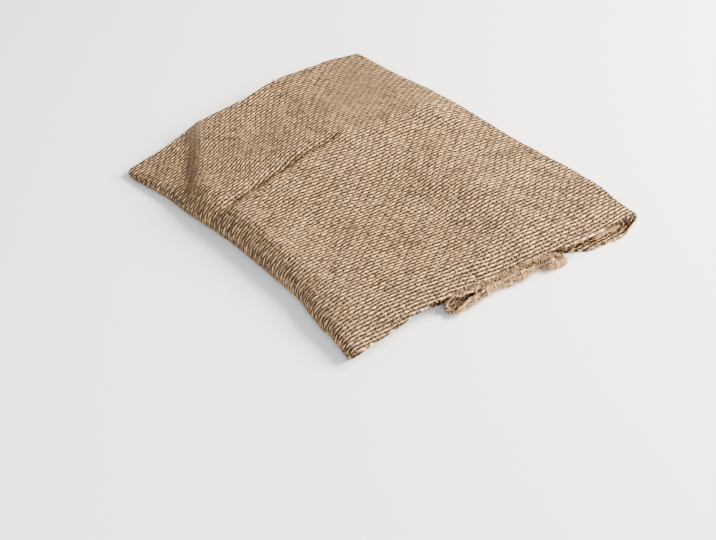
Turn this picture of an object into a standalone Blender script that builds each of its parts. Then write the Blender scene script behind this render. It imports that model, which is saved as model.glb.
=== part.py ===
"""Jute sack, folded in half across its width and then in thirds along its length.

The cloth is modelled first as a neat pack of folds on a straight grid, and the whole pack is then
given its real outline and its uneven heights by one smooth change of shape, so that no layer can
pass through another and the underside stays flat.

Axes: +X runs along the front edge of the pack, +Y towards the back edge, +Z is up.
The origin is at the bottom centre of the pack's box. Sizes below are in millimetres.
"""
import math
from collections import namedtuple

import bmesh
import bpy

MM = 0.001

# ---- driving sizes of the cloth -----------------------------------------------------------------
SHEET = 1.5           # front and back of the sack lying together, two plies of sacking
GAP = 0.6             # air between neighbouring sheets
PACK_LENGTH = 226.0   # along X, over the two thirds' bends
PACK_WIDTH = 265.0    # along Y, from the open edges to the half fold

PAIR = (SHEET + GAP) / 2              # from a layer's middle to the middle of either of its sheets
LAYER = 2 * SHEET + GAP               # a layer is the sack folded in half: two sheets
LAYER_RISE = LAYER + GAP
BOTTOM_Z = LAYER / 2
MIDDLE_Z = BOTTOM_Z + LAYER_RISE
TOP_Z = MIDDLE_Z + LAYER_RISE
PACK_TOP = TOP_Z + LAYER / 2
BEND_RADIUS = (TOP_Z - BOTTOM_Z) / 2  # of a layer's middle, where a third turns under
BEND_REACH = BEND_RADIUS + LAYER / 2
RUN_END = PACK_LENGTH / 2 - BEND_REACH

# ---- the layers, from the free end of the bottom third to that of the middle third ---------------
# clean, seam: how far the sack's closed side and its sewn side stop short of the front line.
# back: how far the half fold stops short of the back line. rows: mesh rows up to the next station.
Station = namedtuple("Station", "layer x clean seam back rows")
STATIONS = (
    Station("bottom", -44.0, 13.0, 12.5, 7.0, 3),
    Station("bottom", 10.0, 12.0, 13.0, 9.0, 2),
    Station("bottom", 54.0, 12.0, 14.0, 6.0, 2),
    Station("bottom", 74.0, 3.0, 12.0, 6.0, 2),
    Station("bottom", RUN_END, -1.5, 4.0, 4.0, 5),
    Station("top", RUN_END, 0.0, 3.5, 0.0, 7),
    Station("top", 55.0, 2.0, 6.0, 0.0, 6),
    Station("top", 10.0, 5.5, 11.0, 0.0, 7),
    Station("top", -45.0, 6.5, 13.0, 0.0, 8),
    Station("top", -RUN_END, 0.5, 8.0, 0.5, 6),
    Station("middle", -RUN_END, 7.0, 10.0, 9.0, 2),
    Station("middle", -76.0, 12.0, 13.0, 9.0, 3),
    Station("middle", -50.0, 13.0, 14.0, 7.0, 4),
    Station("middle", 84.0, 9.0, 12.0, 5.0, 0),
)
CLIMB_START = -82.0   # where the middle third rises from the ground
CLIMB_END = -50.0     # over the free end of the bottom third

# ---- mesh columns across the cloth, from the closed side round the half fold to the sewn side -----
CLEAN_COLUMNS = 34
HALF_FOLD_COLUMNS = 4
SEAM_COLUMNS = 9

# ---- outline of the pack, seen from above --------------------------------------------------------
Corner = namedtuple("Corner", "x y")
LEFT = Corner(-106.0, 125.0)
FRONT = Corner(-118.5, -127.5)
RIGHT = Corner(111.5, -136.5)
BACK = Corner(114.5, 143.0)

# out: how far an edge swells past the straight line between its corners, at a fraction of the way
Bulge = namedtuple("Bulge", "at out")
FRONT_EDGE = (Bulge(0.0, 0.0), Bulge(0.25, -2.0), Bulge(0.55, 0.0), Bulge(0.8, 1.5), Bulge(1.0, 0.0))
BACK_EDGE = (
    Bulge(0.0, 0.0), Bulge(0.14, 1.0), Bulge(0.27, 5.5), Bulge(0.48, 6.0),
    Bulge(0.66, 11.5), Bulge(0.85, 8.0), Bulge(1.0, 0.0),
)
LEFT_EDGE = (
    Bulge(0.0, 0.0), Bulge(0.12, -4.5), Bulge(0.3, -10.5), Bulge(0.5, -11.0),
    Bulge(0.8, -6.5), Bulge(1.0, 0.0),
)
RIGHT_EDGE = (Bulge(0.0, 0.0), Bulge(0.15, 4.5), Bulge(0.42, 3.5), Bulge(0.66, 4.0), Bulge(1.0, 0.0))

# ---- heights -------------------------------------------------------------------------------------
# Squash presses all layers together; air lifts the top third off the layers below it.
# Both are soft mounds: centre, reach along and across, turn in degrees, amount.
Mound = namedtuple("Mound", "name x y along across turn amount")
SQUASH = (
    Mound("left corner", -112.0, 130.0, 46.0, 34.0, 50.0, -0.22),
    Mound("front corner", -116.0, -128.0, 60.0, 24.0, 0.0, -0.16),
    Mound("front edge beside the seam", -62.0, -130.0, 46.0, 14.0, 0.0, -0.14),
    Mound("left edge", -106.0, -15.0, 26.0, 74.0, 0.0, 0.18),
    Mound("right tip", 112.0, -128.0, 40.0, 50.0, 0.0, 0.06),
    Mound("back edge", 20.0, 138.0, 75.0, 30.0, 0.0, 0.10),
    Mound("right edge", 108.0, 38.0, 35.0, 55.0, 0.0, 0.22),
    Mound("right edge, front half", 112.0, -70.0, 35.0, 45.0, 0.0, 0.16),
)
AIR = (
    Mound("whole pack", 0.0, -10.0, 115.0, 130.0, 0.0, 2.4),
    Mound("ridge of the old fold", -22.0, 32.0, 72.0, 17.0, 6.0, 6.6),
    Mound("slope behind the old fold", -12.0, 62.0, 78.0, 27.0, 8.0, 4.4),
    Mound("ridge near the right edge", 74.0, 40.0, 36.0, 20.0, 0.0, 2.6),
    Mound("shoulder along the left edge", -90.0, -25.0, 24.0, 62.0, 0.0, 2.6),
    Mound("swell near the right edge", 46.0, -52.0, 28.0, 58.0, 0.0, 3.8),
    Mound("swell near the front edge", 5.0, -104.0, 62.0, 16.0, 0.0, 1.0),
)

LEAST_AIR = -0.3 * GAP   # a trough stops at the layer below

# Air reaches its full amount this far inside each side of the outline.
FADE_LEFT = 15.0
FADE_RIGHT = 28.0
FADE_FRONT = 24.0
FADE_BACK = 34.0

# Creases are straight soft troughs (depth above 0) or ridges (below 0) in the top third.
Crease = namedtuple("Crease", "name x0 y0 x1 y1 depth half_width")
CREASES = (
    Crease("old fold line", -94.0, 30.0, 18.0, 47.0, 2.6, 5.0),
    Crease("old fold line, right part", 22.0, 46.0, 100.0, 43.0, -1.2, 10.0),
    Crease("faint cross crease", 14.0, 48.0, -14.0, 86.0, 1.0, 5.0),
)

# The left corner lies lower than the rest: everything beyond this line is pressed down.
CORNER_LINE = Crease("left corner", -46.0, 134.0, -95.0, 58.0, 0.26, 9.0)

# ---- the bend at the right edge leans out at its top ---------------------------------------------
LEAN_FRONT = 12.0     # how far the underside stops short of the top at the right tip
LEAN_BACK = 3.0
LEAN_ZONE = 52.0      # length of the underside that is drawn in

# ---- the sewn side that shows under the front edge -----------------------------------------------
SEAM_START = -44.5
SEAM_END = 56.0
SEAM_STEPS = 64
SEAM_SIDES = 14
SEAM_CLEARANCE = 0.35
SEAM_STITCH_PITCH = 9.0
# y: middle of the roll, rise: its height, depth: its size along Y
SeamRow = namedtuple("SeamRow", "x y rise depth")
SEAM_ROWS = (
    SeamRow(-44.5, -126.4, 6.0, 8.0),
    SeamRow(-38.0, -126.0, 9.2, 11.0),
    SeamRow(-29.0, -125.6, 8.4, 10.4),
    SeamRow(-14.0, -125.4, 8.0, 9.6),
    SeamRow(4.0, -126.6, 7.8, 8.8),
    SeamRow(22.0, -127.6, 7.0, 8.0),
    SeamRow(38.0, -129.8, 8.4, 8.6),
    SeamRow(48.0, -131.6, 7.4, 7.6),
    SeamRow(56.0, -133.2, 4.0, 4.6),
)
SEAM_LUMP = 0.08      # how much each stitch nips the roll
SEAM_TWIST = 0.55     # radians that the lumps turn for each millimetre along it

CLOTH_COLOUR = (0.42, 0.29, 0.17, 1.0)
SEAM_COLOUR = (0.46, 0.31, 0.17, 1.0)
CLOTH_ROUGHNESS = 0.95
SHARP_ANGLE = math.radians(50.0)      # the cloth's cut edges stay crisp, its folds are smooth


def ease(t):
    """Smooth step from 0 to 1."""
    t = min(max(t, 0.0), 1.0)
    return t * t * (3.0 - 2.0 * t)


def mix(a, b, t):
    """Value a share t of the way from a to b."""
    return a + (b - a) * t


def read_table(rows, key, column, position):
    """Value of a column at a position, eased between the table's rows."""
    first, last = rows[0], rows[-1]
    if position <= getattr(first, key):
        return getattr(first, column)
    for low, high in zip(rows, rows[1:]):
        start, end = getattr(low, key), getattr(high, key)
        if position <= end:
            share = ease((position - start) / (end - start))
            return mix(getattr(low, column), getattr(high, column), share)
    return getattr(last, column)


def mound_value(mound, x, y):
    """Height of one mound at a place in the outline, 1 at its middle and 0 past about twice its reach."""
    turn = math.radians(mound.turn)
    dx, dy = x - mound.x, y - mound.y
    along = (dx * math.cos(turn) + dy * math.sin(turn)) / mound.along
    across = (dy * math.cos(turn) - dx * math.sin(turn)) / mound.across
    return math.exp(-(along * along + across * across))


def crease_value(crease, x, y):
    """Profile of one crease: 1 on its line, easing to 0 across it and past its ends."""
    dx, dy = crease.x1 - crease.x0, crease.y1 - crease.y0
    length = math.hypot(dx, dy)
    along = ((x - crease.x0) * dx + (y - crease.y0) * dy) / length
    across = ((y - crease.y0) * dx - (x - crease.x0) * dy) / length
    beyond = max(-along, along - length, 0.0)
    return math.exp(-(across * across + beyond * beyond) / crease.half_width ** 2)


def beyond_value(line, x, y):
    """Share of a place that lies beyond a line: 0 before it, 1 past it, eased over its width."""
    dx, dy = line.x1 - line.x0, line.y1 - line.y0
    across = ((y - line.y0) * dx - (x - line.x0) * dy) / math.hypot(dx, dy)
    return ease(0.5 - across / (2.0 * line.half_width))


def outline_point(u, v):
    """Plan position of a place in the pack, u from the left edge and v from the front line."""
    x = mix(mix(FRONT.x, RIGHT.x, u), mix(LEFT.x, BACK.x, u), v)
    y = mix(mix(FRONT.y, RIGHT.y, u), mix(LEFT.y, BACK.y, u), v)
    y -= (1.0 - v) * read_table(FRONT_EDGE, "at", "out", u)
    y += v * read_table(BACK_EDGE, "at", "out", u)
    x -= (1.0 - u) * read_table(LEFT_EDGE, "at", "out", v)
    x += u * read_table(RIGHT_EDGE, "at", "out", v)
    return x, y


def settle(x, y, z):
    """Give a point of the neat pack its place in the real one."""
    u = x / PACK_LENGTH + 0.5
    v = y / PACK_WIDTH + 0.5
    below_top = 1.0 - min(max(z / PACK_TOP, 0.0), 1.0)
    drawn_in = mix(LEAN_FRONT, LEAN_BACK, ease(v * 1.6)) * below_top ** 1.5
    zone = ease((x - (PACK_LENGTH / 2 - LEAN_ZONE)) / LEAN_ZONE)
    u -= drawn_in * zone / PACK_LENGTH
    px, py = outline_point(u, v)
    pressed = 1.0 + sum(m.amount * mound_value(m, px, py) for m in SQUASH)
    pressed -= CORNER_LINE.depth * beyond_value(CORNER_LINE, px, py)
    inside = ease(u * PACK_LENGTH / FADE_LEFT) * ease((1.0 - u) * PACK_LENGTH / FADE_RIGHT)
    inside *= ease(v * PACK_WIDTH / FADE_FRONT) * ease((1.0 - v) * PACK_WIDTH / FADE_BACK)
    air = inside * sum(m.amount * mound_value(m, px, py) for m in AIR)
    air -= inside * sum(c.depth * crease_value(c, px, py) for c in CREASES)
    under_top = MIDDLE_Z + LAYER / 2
    lifted = min(max((z - under_top) / GAP, 0.0), 1.0)
    return px, py, z * pressed + max(air, LEAST_AIR) * lifted


def layer_height(layer, x):
    """Height of a layer's middle above the ground, in the neat pack."""
    if layer == "bottom":
        return BOTTOM_Z
    if layer == "top":
        return TOP_Z
    return mix(BOTTOM_Z, MIDDLE_Z, ease((x - CLIMB_START) / (CLIMB_END - CLIMB_START)))


def fold_path():
    """Rows along the sack: (x, z, setbacks) of a layer's middle, round both bends."""
    path = []
    for here, after in zip(STATIONS, STATIONS[1:]):
        for step in range(here.rows):
            share = step / here.rows
            setbacks = [mix(getattr(here, name), getattr(after, name), ease(share))
                        for name in ("clean", "seam", "back")]
            if here.layer == after.layer:
                x = mix(here.x, after.x, share)
                z = layer_height(here.layer, x)
            else:
                side = math.copysign(1.0, here.x)
                start_z = layer_height(here.layer, here.x)
                turn = math.pi * share
                x = here.x + side * BEND_RADIUS * math.sin(turn)
                z = start_z + side * BEND_RADIUS * (1.0 - math.cos(turn))
            path.append((x, z, setbacks))
    last = STATIONS[-1]
    path.append((last.x, layer_height(last.layer, last.x), [last.clean, last.seam, last.back]))
    return path


def path_normals(path):
    """Outward directions of the path in X and Z: down under the bottom third, up over the top one."""
    normals = []
    for index in range(len(path)):
        before = path[max(index - 1, 0)]
        after = path[min(index + 1, len(path) - 1)]
        dx, dz = after[0] - before[0], after[1] - before[1]
        length = math.hypot(dx, dz)
        normals.append((dz / length, -dx / length))
    return normals


def hairpin(clean, seam, back):
    """Section across the cloth: (y, height, normal y, normal height) along its middle line."""
    front_line, back_line = -PACK_WIDTH / 2, PACK_WIDTH / 2
    turn_y = back_line - back - PAIR - SHEET / 2
    points = []
    for step in range(CLEAN_COLUMNS):
        points.append((mix(front_line + clean, turn_y, step / CLEAN_COLUMNS), PAIR, 0.0, 1.0))
    for step in range(HALF_FOLD_COLUMNS):
        turn = math.pi * step / HALF_FOLD_COLUMNS
        across, up = math.sin(turn), math.cos(turn)
        points.append((turn_y + PAIR * across, PAIR * up, across, up))
    for step in range(SEAM_COLUMNS + 1):
        points.append((mix(turn_y, front_line + seam, step / SEAM_COLUMNS), -PAIR, 0.0, -1.0))
    return points


def grid_solid(name, outer, inner, colour):
    """Close two matching grids of points, rows by columns, into one sheet of cloth."""
    mesh = bmesh.new()
    skins = [[[mesh.verts.new(point) for point in row] for row in skin] for skin in (outer, inner)]
    rows, columns = len(outer), len(outer[0])
    for row in range(rows - 1):
        for column in range(columns - 1):
            a, b = skins[0][row][column], skins[0][row][column + 1]
            c, d = skins[0][row + 1][column + 1], skins[0][row + 1][column]
            mesh.faces.new((a, b, c, d))
            a, b = skins[1][row][column], skins[1][row][column + 1]
            c, d = skins[1][row + 1][column + 1], skins[1][row + 1][column]
            mesh.faces.new((d, c, b, a))
    rim = [(0, column) for column in range(columns)]
    rim += [(row, columns - 1) for row in range(1, rows)]
    rim += [(rows - 1, column) for column in range(columns - 2, -1, -1)]
    rim += [(row, 0) for row in range(rows - 2, 0, -1)]
    for here, after in zip(rim, rim[1:] + rim[:1]):
        outer_here, outer_after = skins[0][here[0]][here[1]], skins[0][after[0]][after[1]]
        inner_here, inner_after = skins[1][here[0]][here[1]], skins[1][after[0]][after[1]]
        mesh.faces.new((outer_after, outer_here, inner_here, inner_after))
    return finish(name, mesh, colour)


def finish(name, mesh, colour):
    """Make an object of a closed mesh, with faces out, smooth shading and its own material."""
    bmesh.ops.recalc_face_normals(mesh, faces=mesh.faces)
    data = bpy.data.meshes.new(name)
    mesh.to_mesh(data)
    mesh.free()
    data.shade_smooth()
    data.set_sharp_from_angle(angle=SHARP_ANGLE)
    material = bpy.data.materials.new(name)
    material.use_nodes = True
    shader = material.node_tree.nodes["Principled BSDF"]
    shader.inputs["Base Color"].default_value = colour
    shader.inputs["Roughness"].default_value = CLOTH_ROUGHNESS
    shader.inputs["Metallic"].default_value = 0.0
    data.materials.append(material)
    item = bpy.data.objects.new(name, data)
    bpy.context.scene.collection.objects.link(item)
    return item


def cloth_points():
    """Outer and inner skins of the whole folded cloth, in millimetres."""
    path = fold_path()
    skins = ([], [])
    for (x, z, setbacks), (normal_x, normal_z) in zip(path, path_normals(path)):
        section = hairpin(*setbacks)
        for skin, side in zip(skins, (SHEET / 2, -SHEET / 2)):
            row = []
            for y, height, across, up in section:
                offset = height + side * up
                row.append(settle(x + normal_x * offset, y + side * across, z + normal_z * offset))
            skin.append(row)
    return skins


def seam_points():
    """Rings of the rough roll of turned edges along the sewn side, in millimetres."""
    rings = []
    for step in range(SEAM_STEPS + 1):
        share = step / SEAM_STEPS
        x = mix(SEAM_START, SEAM_END, share)
        y = read_table(SEAM_ROWS, "x", "y", x)
        rise = read_table(SEAM_ROWS, "x", "rise", x)
        depth = read_table(SEAM_ROWS, "x", "depth", x)
        nip = 1.0 - SEAM_LUMP * (1.0 + math.cos(2 * math.pi * (x - SEAM_START) / SEAM_STITCH_PITCH))
        ring = []
        for side in range(SEAM_SIDES):
            angle = 2 * math.pi * side / SEAM_SIDES
            wave = 1.0 + SEAM_LUMP * math.sin(3 * angle + x * SEAM_TWIST)
            ring.append((
                x,
                y + depth / 2 * nip * wave * math.cos(angle),
                SEAM_CLEARANCE + rise / 2 * (1.0 + nip * wave * math.sin(angle)),
            ))
        rings.append(ring)
    return rings


def lift_to_ground(rings):
    """Flatten what the roll rests on, a hair above the ground."""
    return [[(x, y, max(z, SEAM_CLEARANCE)) for x, y, z in ring] for ring in rings]


def make_seam(shift):
    """Skin the rings of the roll and close its two ends."""
    mesh = bmesh.new()
    rings = lift_to_ground(seam_points())
    loops = [[mesh.verts.new(place(point, shift)) for point in ring] for ring in rings]
    for low, high in zip(loops, loops[1:]):
        for side in range(SEAM_SIDES):
            after = (side + 1) % SEAM_SIDES
            mesh.faces.new((low[side], low[after], high[after], high[side]))
    mesh.faces.new(list(reversed(loops[0])))
    mesh.faces.new(loops[-1])
    return finish("side_seam", mesh, SEAM_COLOUR)


def place(point, shift):
    """Millimetres about the pack's own middle to metres about the origin."""
    return tuple((value - offset) * MM for value, offset in zip(point, shift))


def bottom_centre(points):
    """Middle of the points' box in X and Y, and its lowest height."""
    columns = list(zip(*points))
    return (
        (min(columns[0]) + max(columns[0])) / 2,
        (min(columns[1]) + max(columns[1])) / 2,
        min(columns[2]),
    )


def clear_scene():
    """Remove what the new file holds."""
    for item in list(bpy.data.objects):
        bpy.data.objects.remove(item, do_unlink=True)


def main():
    """Fold the cloth, set both pieces about the bottom centre of the pack and make them."""
    clear_scene()
    outer, inner = cloth_points()
    every_point = [point for skin in (outer, inner) for row in skin for point in row]
    every_point += [point for ring in lift_to_ground(seam_points()) for point in ring]
    shift = bottom_centre(every_point)
    skins = [[[place(point, shift) for point in row] for row in skin] for skin in (outer, inner)]
    grid_solid("sack_cloth", skins[0], skins[1], CLOTH_COLOUR)
    make_seam(shift)


main()
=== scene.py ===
"""Looks of a folded jute sack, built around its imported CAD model.

The sack lies folded in half across its width and in thirds along its length. Each sub-assembly is a
class that holds its sizes and builds and dresses its own pieces. Lengths in the classes are in
millimetres, in the frame of the folded pack, and become metres only when a mesh is made.
"""

import logging
import math
from dataclasses import astuple, dataclass, field
from enum import Enum
from typing import Any, Sequence

import bpy
import numpy as np
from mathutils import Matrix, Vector


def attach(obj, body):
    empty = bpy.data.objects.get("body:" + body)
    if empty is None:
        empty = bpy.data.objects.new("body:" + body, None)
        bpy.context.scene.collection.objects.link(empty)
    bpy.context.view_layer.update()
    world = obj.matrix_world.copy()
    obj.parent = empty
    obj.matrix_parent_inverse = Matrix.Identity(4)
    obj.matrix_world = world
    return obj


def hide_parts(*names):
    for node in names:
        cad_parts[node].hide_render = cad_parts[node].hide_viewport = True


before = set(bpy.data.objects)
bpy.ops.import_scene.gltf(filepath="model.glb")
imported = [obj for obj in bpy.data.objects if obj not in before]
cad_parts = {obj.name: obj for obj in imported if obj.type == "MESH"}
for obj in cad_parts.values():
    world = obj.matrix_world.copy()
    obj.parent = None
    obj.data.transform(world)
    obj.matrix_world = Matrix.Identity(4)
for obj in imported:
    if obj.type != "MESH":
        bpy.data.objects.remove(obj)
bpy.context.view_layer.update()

LOG = logging.getLogger("jute_sack")
MM = 0.001
TINY = 1e-12
BODY = "root"
CLOTH_MAP = "cloth"      # UV map with the cloth's own coordinates, in metres before it was folded
Array = np.ndarray

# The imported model's origin, the bottom centre of its box, in the pack's own frame.
ORIGIN_IN_PACK = np.array([-0.765, 5.390, 0.0])


class Share(Enum):
    """Amounts from 0 to 1 at each vertex of the cloth, which its finish reads."""

    STAINED = "stained"      # how far it is stained rust-brown
    PAINTED_SHADE = "creased"      # how much painted shade it gets: along sharp fold lines and over a few broad patches
    ROUNDED = "rounded"      # how far it is bent round a fold across the sack
    PRESSED = "pressed"      # how far its weave is pressed flat and its holes are closed; its darker tone is painted shade on the left corner's turned face
    SHADE_GREY = "dusty"          # how far a painted grey tint covers it, the cooler colour of cloth in shade


# ---- colour and nodes ----------------------------------------------------------------------------
def linear(colour: str) -> tuple[float, float, float, float]:
    """Turn an sRGB hex colour into linear RGBA.

    Args:
        colour: six hex digits after a hash.

    Returns:
        Red, green, blue and an alpha of 1.
    """
    parts = [int(colour[place:place + 2], 16) / 255 for place in (1, 3, 5)]
    red, green, blue = (c / 12.92 if c <= 0.04045 else ((c + 0.055) / 1.055) ** 2.4 for c in parts)
    return red, green, blue, 1.0


def add_node(tree: bpy.types.NodeTree, kind: str, settings: dict[str, Any] | None = None,
             feeds: dict[str | int, Any] | None = None) -> bpy.types.Node:
    """Add one node with its settings and what feeds its inputs.

    Args:
        tree: node tree that gets the node.
        kind: Blender's name of the node type.
        settings: values of the node's own properties.
        feeds: for each input, by name or number, a term or socket to link or a plain value.

    Returns:
        The new node.
    """
    node = tree.nodes.new(kind)
    for name, value in (settings or {}).items():
        setattr(node, name, value)
    for name, value in (feeds or {}).items():
        value = value.socket if isinstance(value, Term) else value
        if isinstance(value, bpy.types.NodeSocket):
            tree.links.new(value, node.inputs[name])
        else:
            node.inputs[name].default_value = value
    return node


class Term:
    """A number in a node tree. Each operator and method on it adds one or two Math nodes."""

    def __init__(self, tree: bpy.types.NodeTree, socket: bpy.types.NodeSocket) -> None:
        """Hold the tree and the socket that gives the number."""
        self.tree = tree
        self.socket = socket

    def work(self, operation: str, *others: "Term | float") -> "Term":
        """Return the result of one Math node over this number and the others."""
        feeds = dict(enumerate((self, *others)))
        node = add_node(self.tree, "ShaderNodeMath", {"operation": operation}, feeds)
        return Term(self.tree, node.outputs[0])

    def __add__(self, other: "Term | float") -> "Term":
        """Return the sum."""
        return self.work("ADD", other)

    def __sub__(self, other: "Term | float") -> "Term":
        """Return the difference."""
        return self.work("SUBTRACT", other)

    def __rsub__(self, other: float) -> "Term":
        """Return a plain number less this one."""
        return self * -1.0 + other

    def __mul__(self, other: "Term | float") -> "Term":
        """Return the product."""
        return self.work("MULTIPLY", other)

    def __truediv__(self, other: "Term | float") -> "Term":
        """Return the quotient."""
        return self.work("DIVIDE", other)

    def __pow__(self, other: float) -> "Term":
        """Return the power."""
        return self.work("POWER", other)

    def floor(self) -> "Term":
        """Return the whole number below."""
        return self.work("FLOOR")

    def remainder(self, other: float) -> "Term":
        """Return what is left over from whole steps."""
        return self.work("FLOORED_MODULO", other)

    def cosine(self) -> "Term":
        """Return the cosine."""
        return self.work("COSINE")

    def root(self) -> "Term":
        """Return the square root."""
        return self.work("SQRT")

    def at_least(self, other: "Term | float") -> "Term":
        """Return the larger of the two."""
        return self.work("MAXIMUM", other)

    def at_most(self, other: "Term | float") -> "Term":
        """Return the smaller of the two."""
        return self.work("MINIMUM", other)

    def above(self, other: "Term | float") -> "Term":
        """Return 1 where this number is the larger, and 0 elsewhere."""
        return self.work("GREATER_THAN", other)


def read_share(tree: bpy.types.NodeTree, share: Share) -> Term:
    """Read one of the cloth's vertex shares."""
    return Term(tree, add_node(tree, "ShaderNodeAttribute", {"attribute_name": share.value}).outputs["Fac"])


def noise(first: Term, second: Term, scales: tuple[float, float], seed: float, detail: float) -> Term:
    """Make noise from 0 to 1 over two numbers.

    Args:
        first, second: the two numbers.
        scales: features per unit along each.
        seed: place in the endless noise, so that noises differ.
        detail: octaves.

    Returns:
        The noise.
    """
    tree = first.tree
    where = add_node(tree, "ShaderNodeCombineXYZ", None, {0: first, 1: second})
    moved = add_node(tree, "ShaderNodeVectorMath", {"operation": "MULTIPLY_ADD"}, {
        0: where.outputs[0], 1: (*scales, 0.0), 2: (seed, seed * 1.7, 0.0)})
    texture = add_node(tree, "ShaderNodeTexNoise", {"noise_dimensions": "2D"}, {
        "Vector": moved.outputs[0], "Scale": 1.0, "Detail": detail, "Roughness": 0.55})
    return Term(tree, texture.outputs[0])


def ramp(tree: bpy.types.NodeTree, place: Term, stops: Sequence[tuple[float, str]]) -> bpy.types.NodeSocket:
    """Turn a number into a colour.

    Args:
        tree: node tree that gets the ramp.
        place: the number.
        stops: positions that rise, each with its sRGB hex colour.

    Returns:
        The colour's socket.
    """
    node = add_node(tree, "ShaderNodeValToRGB", None, {0: place})
    elements = node.color_ramp.elements
    for element, (position, colour) in zip(elements, (stops[0], stops[-1])):
        element.position, element.color = position, linear(colour)
    for position, colour in stops[1:-1]:
        elements.new(position).color = linear(colour)
    return node.outputs[0]


def cover(share: Term, below: bpy.types.NodeSocket, kind: str, colour: str) -> bpy.types.NodeSocket:
    """Mix or multiply a colour over another by a share, and return the result."""
    node = add_node(share.tree, "ShaderNodeMix", {"data_type": "RGBA", "blend_type": kind}, {
        0: share, 6: below, 7: linear(colour)})
    return node.outputs[2]


def new_material(name: str, roughness: float,
                 specular: float = 0.5) -> tuple[bpy.types.Material, bpy.types.NodeTree, bpy.types.Node]:
    """Make a material with one Principled shader, and return it, its tree and that shader."""
    material = bpy.data.materials.new(name)
    material.use_nodes = True
    shader = material.node_tree.nodes["Principled BSDF"]
    shader.inputs["Roughness"].default_value = roughness
    shader.inputs["Specular IOR Level"].default_value = specular
    return material, material.node_tree, shader


def add_relief(shader: bpy.types.Node, height: Term, depth: float, strength: Term | float) -> None:
    """Bump a shader by a height from 0 to 1, which stands for a depth in millimetres."""
    bump = add_node(height.tree, "ShaderNodeBump", None, {
        "Strength": strength, "Distance": depth * MM, "Height": height})
    height.tree.links.new(bump.outputs[0], shader.inputs["Normal"])


# ---- finishes ------------------------------------------------------------------------------------
@dataclass(frozen=True)
class YarnSet:
    """The yarns of one direction in the weave. Widths are shares of the pitch."""

    pitch: float              # mm from yarn to yarn
    half_width: float         # where the yarn is thinnest
    slub: float               # how much wider it is where it is thickest
    narrowing: float          # how much an open hole narrows it
    dip: float                # share of its height that it loses halfway down
    own_step: float           # how far apart neighbours read their own noises
    wander_seed: float
    slub_seed: float
    shift_seed: float
    tone_seed: float
    upright: bool = False     # whether it runs along the second axis of the cloth's map

    def streaks(self, along: Term, across: Term, scales: tuple[float, float], seed: float,
                detail: float) -> Term:
        """Return noise over places along and across the yarns, with features per unit along each."""
        if self.upright:
            return noise(across, along, scales[::-1], seed, detail)
        return noise(along, across, scales, seed, detail)


@dataclass
class YarnPlace:
    """Where each place of the cloth lies among the yarns of one set."""

    along: Term       # mm along them
    count: Term       # yarns from the first one
    number: Term      # which yarn is here
    own: Term         # where that yarn reads its own noises
    off: Term         # yarns from its middle line
    slub: Term        # how thick it is here, from 0 to 1


@dataclass
class Weave:
    """What the finish knows of the weave at each place of the cloth."""

    x: Term
    y: Term
    long: YarnPlace
    cross: YarnPlace
    flat: Term            # how far it is pressed
    fibre: Term           # fine streaks of the fibres
    depth: Term           # height of the upper yarn on flat cloth, from 0 in a hole to its top
    long_shows: Term      # 1 where the long yarn is on top
    height: Term          # height for the relief, with the bends and the fibres


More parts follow.
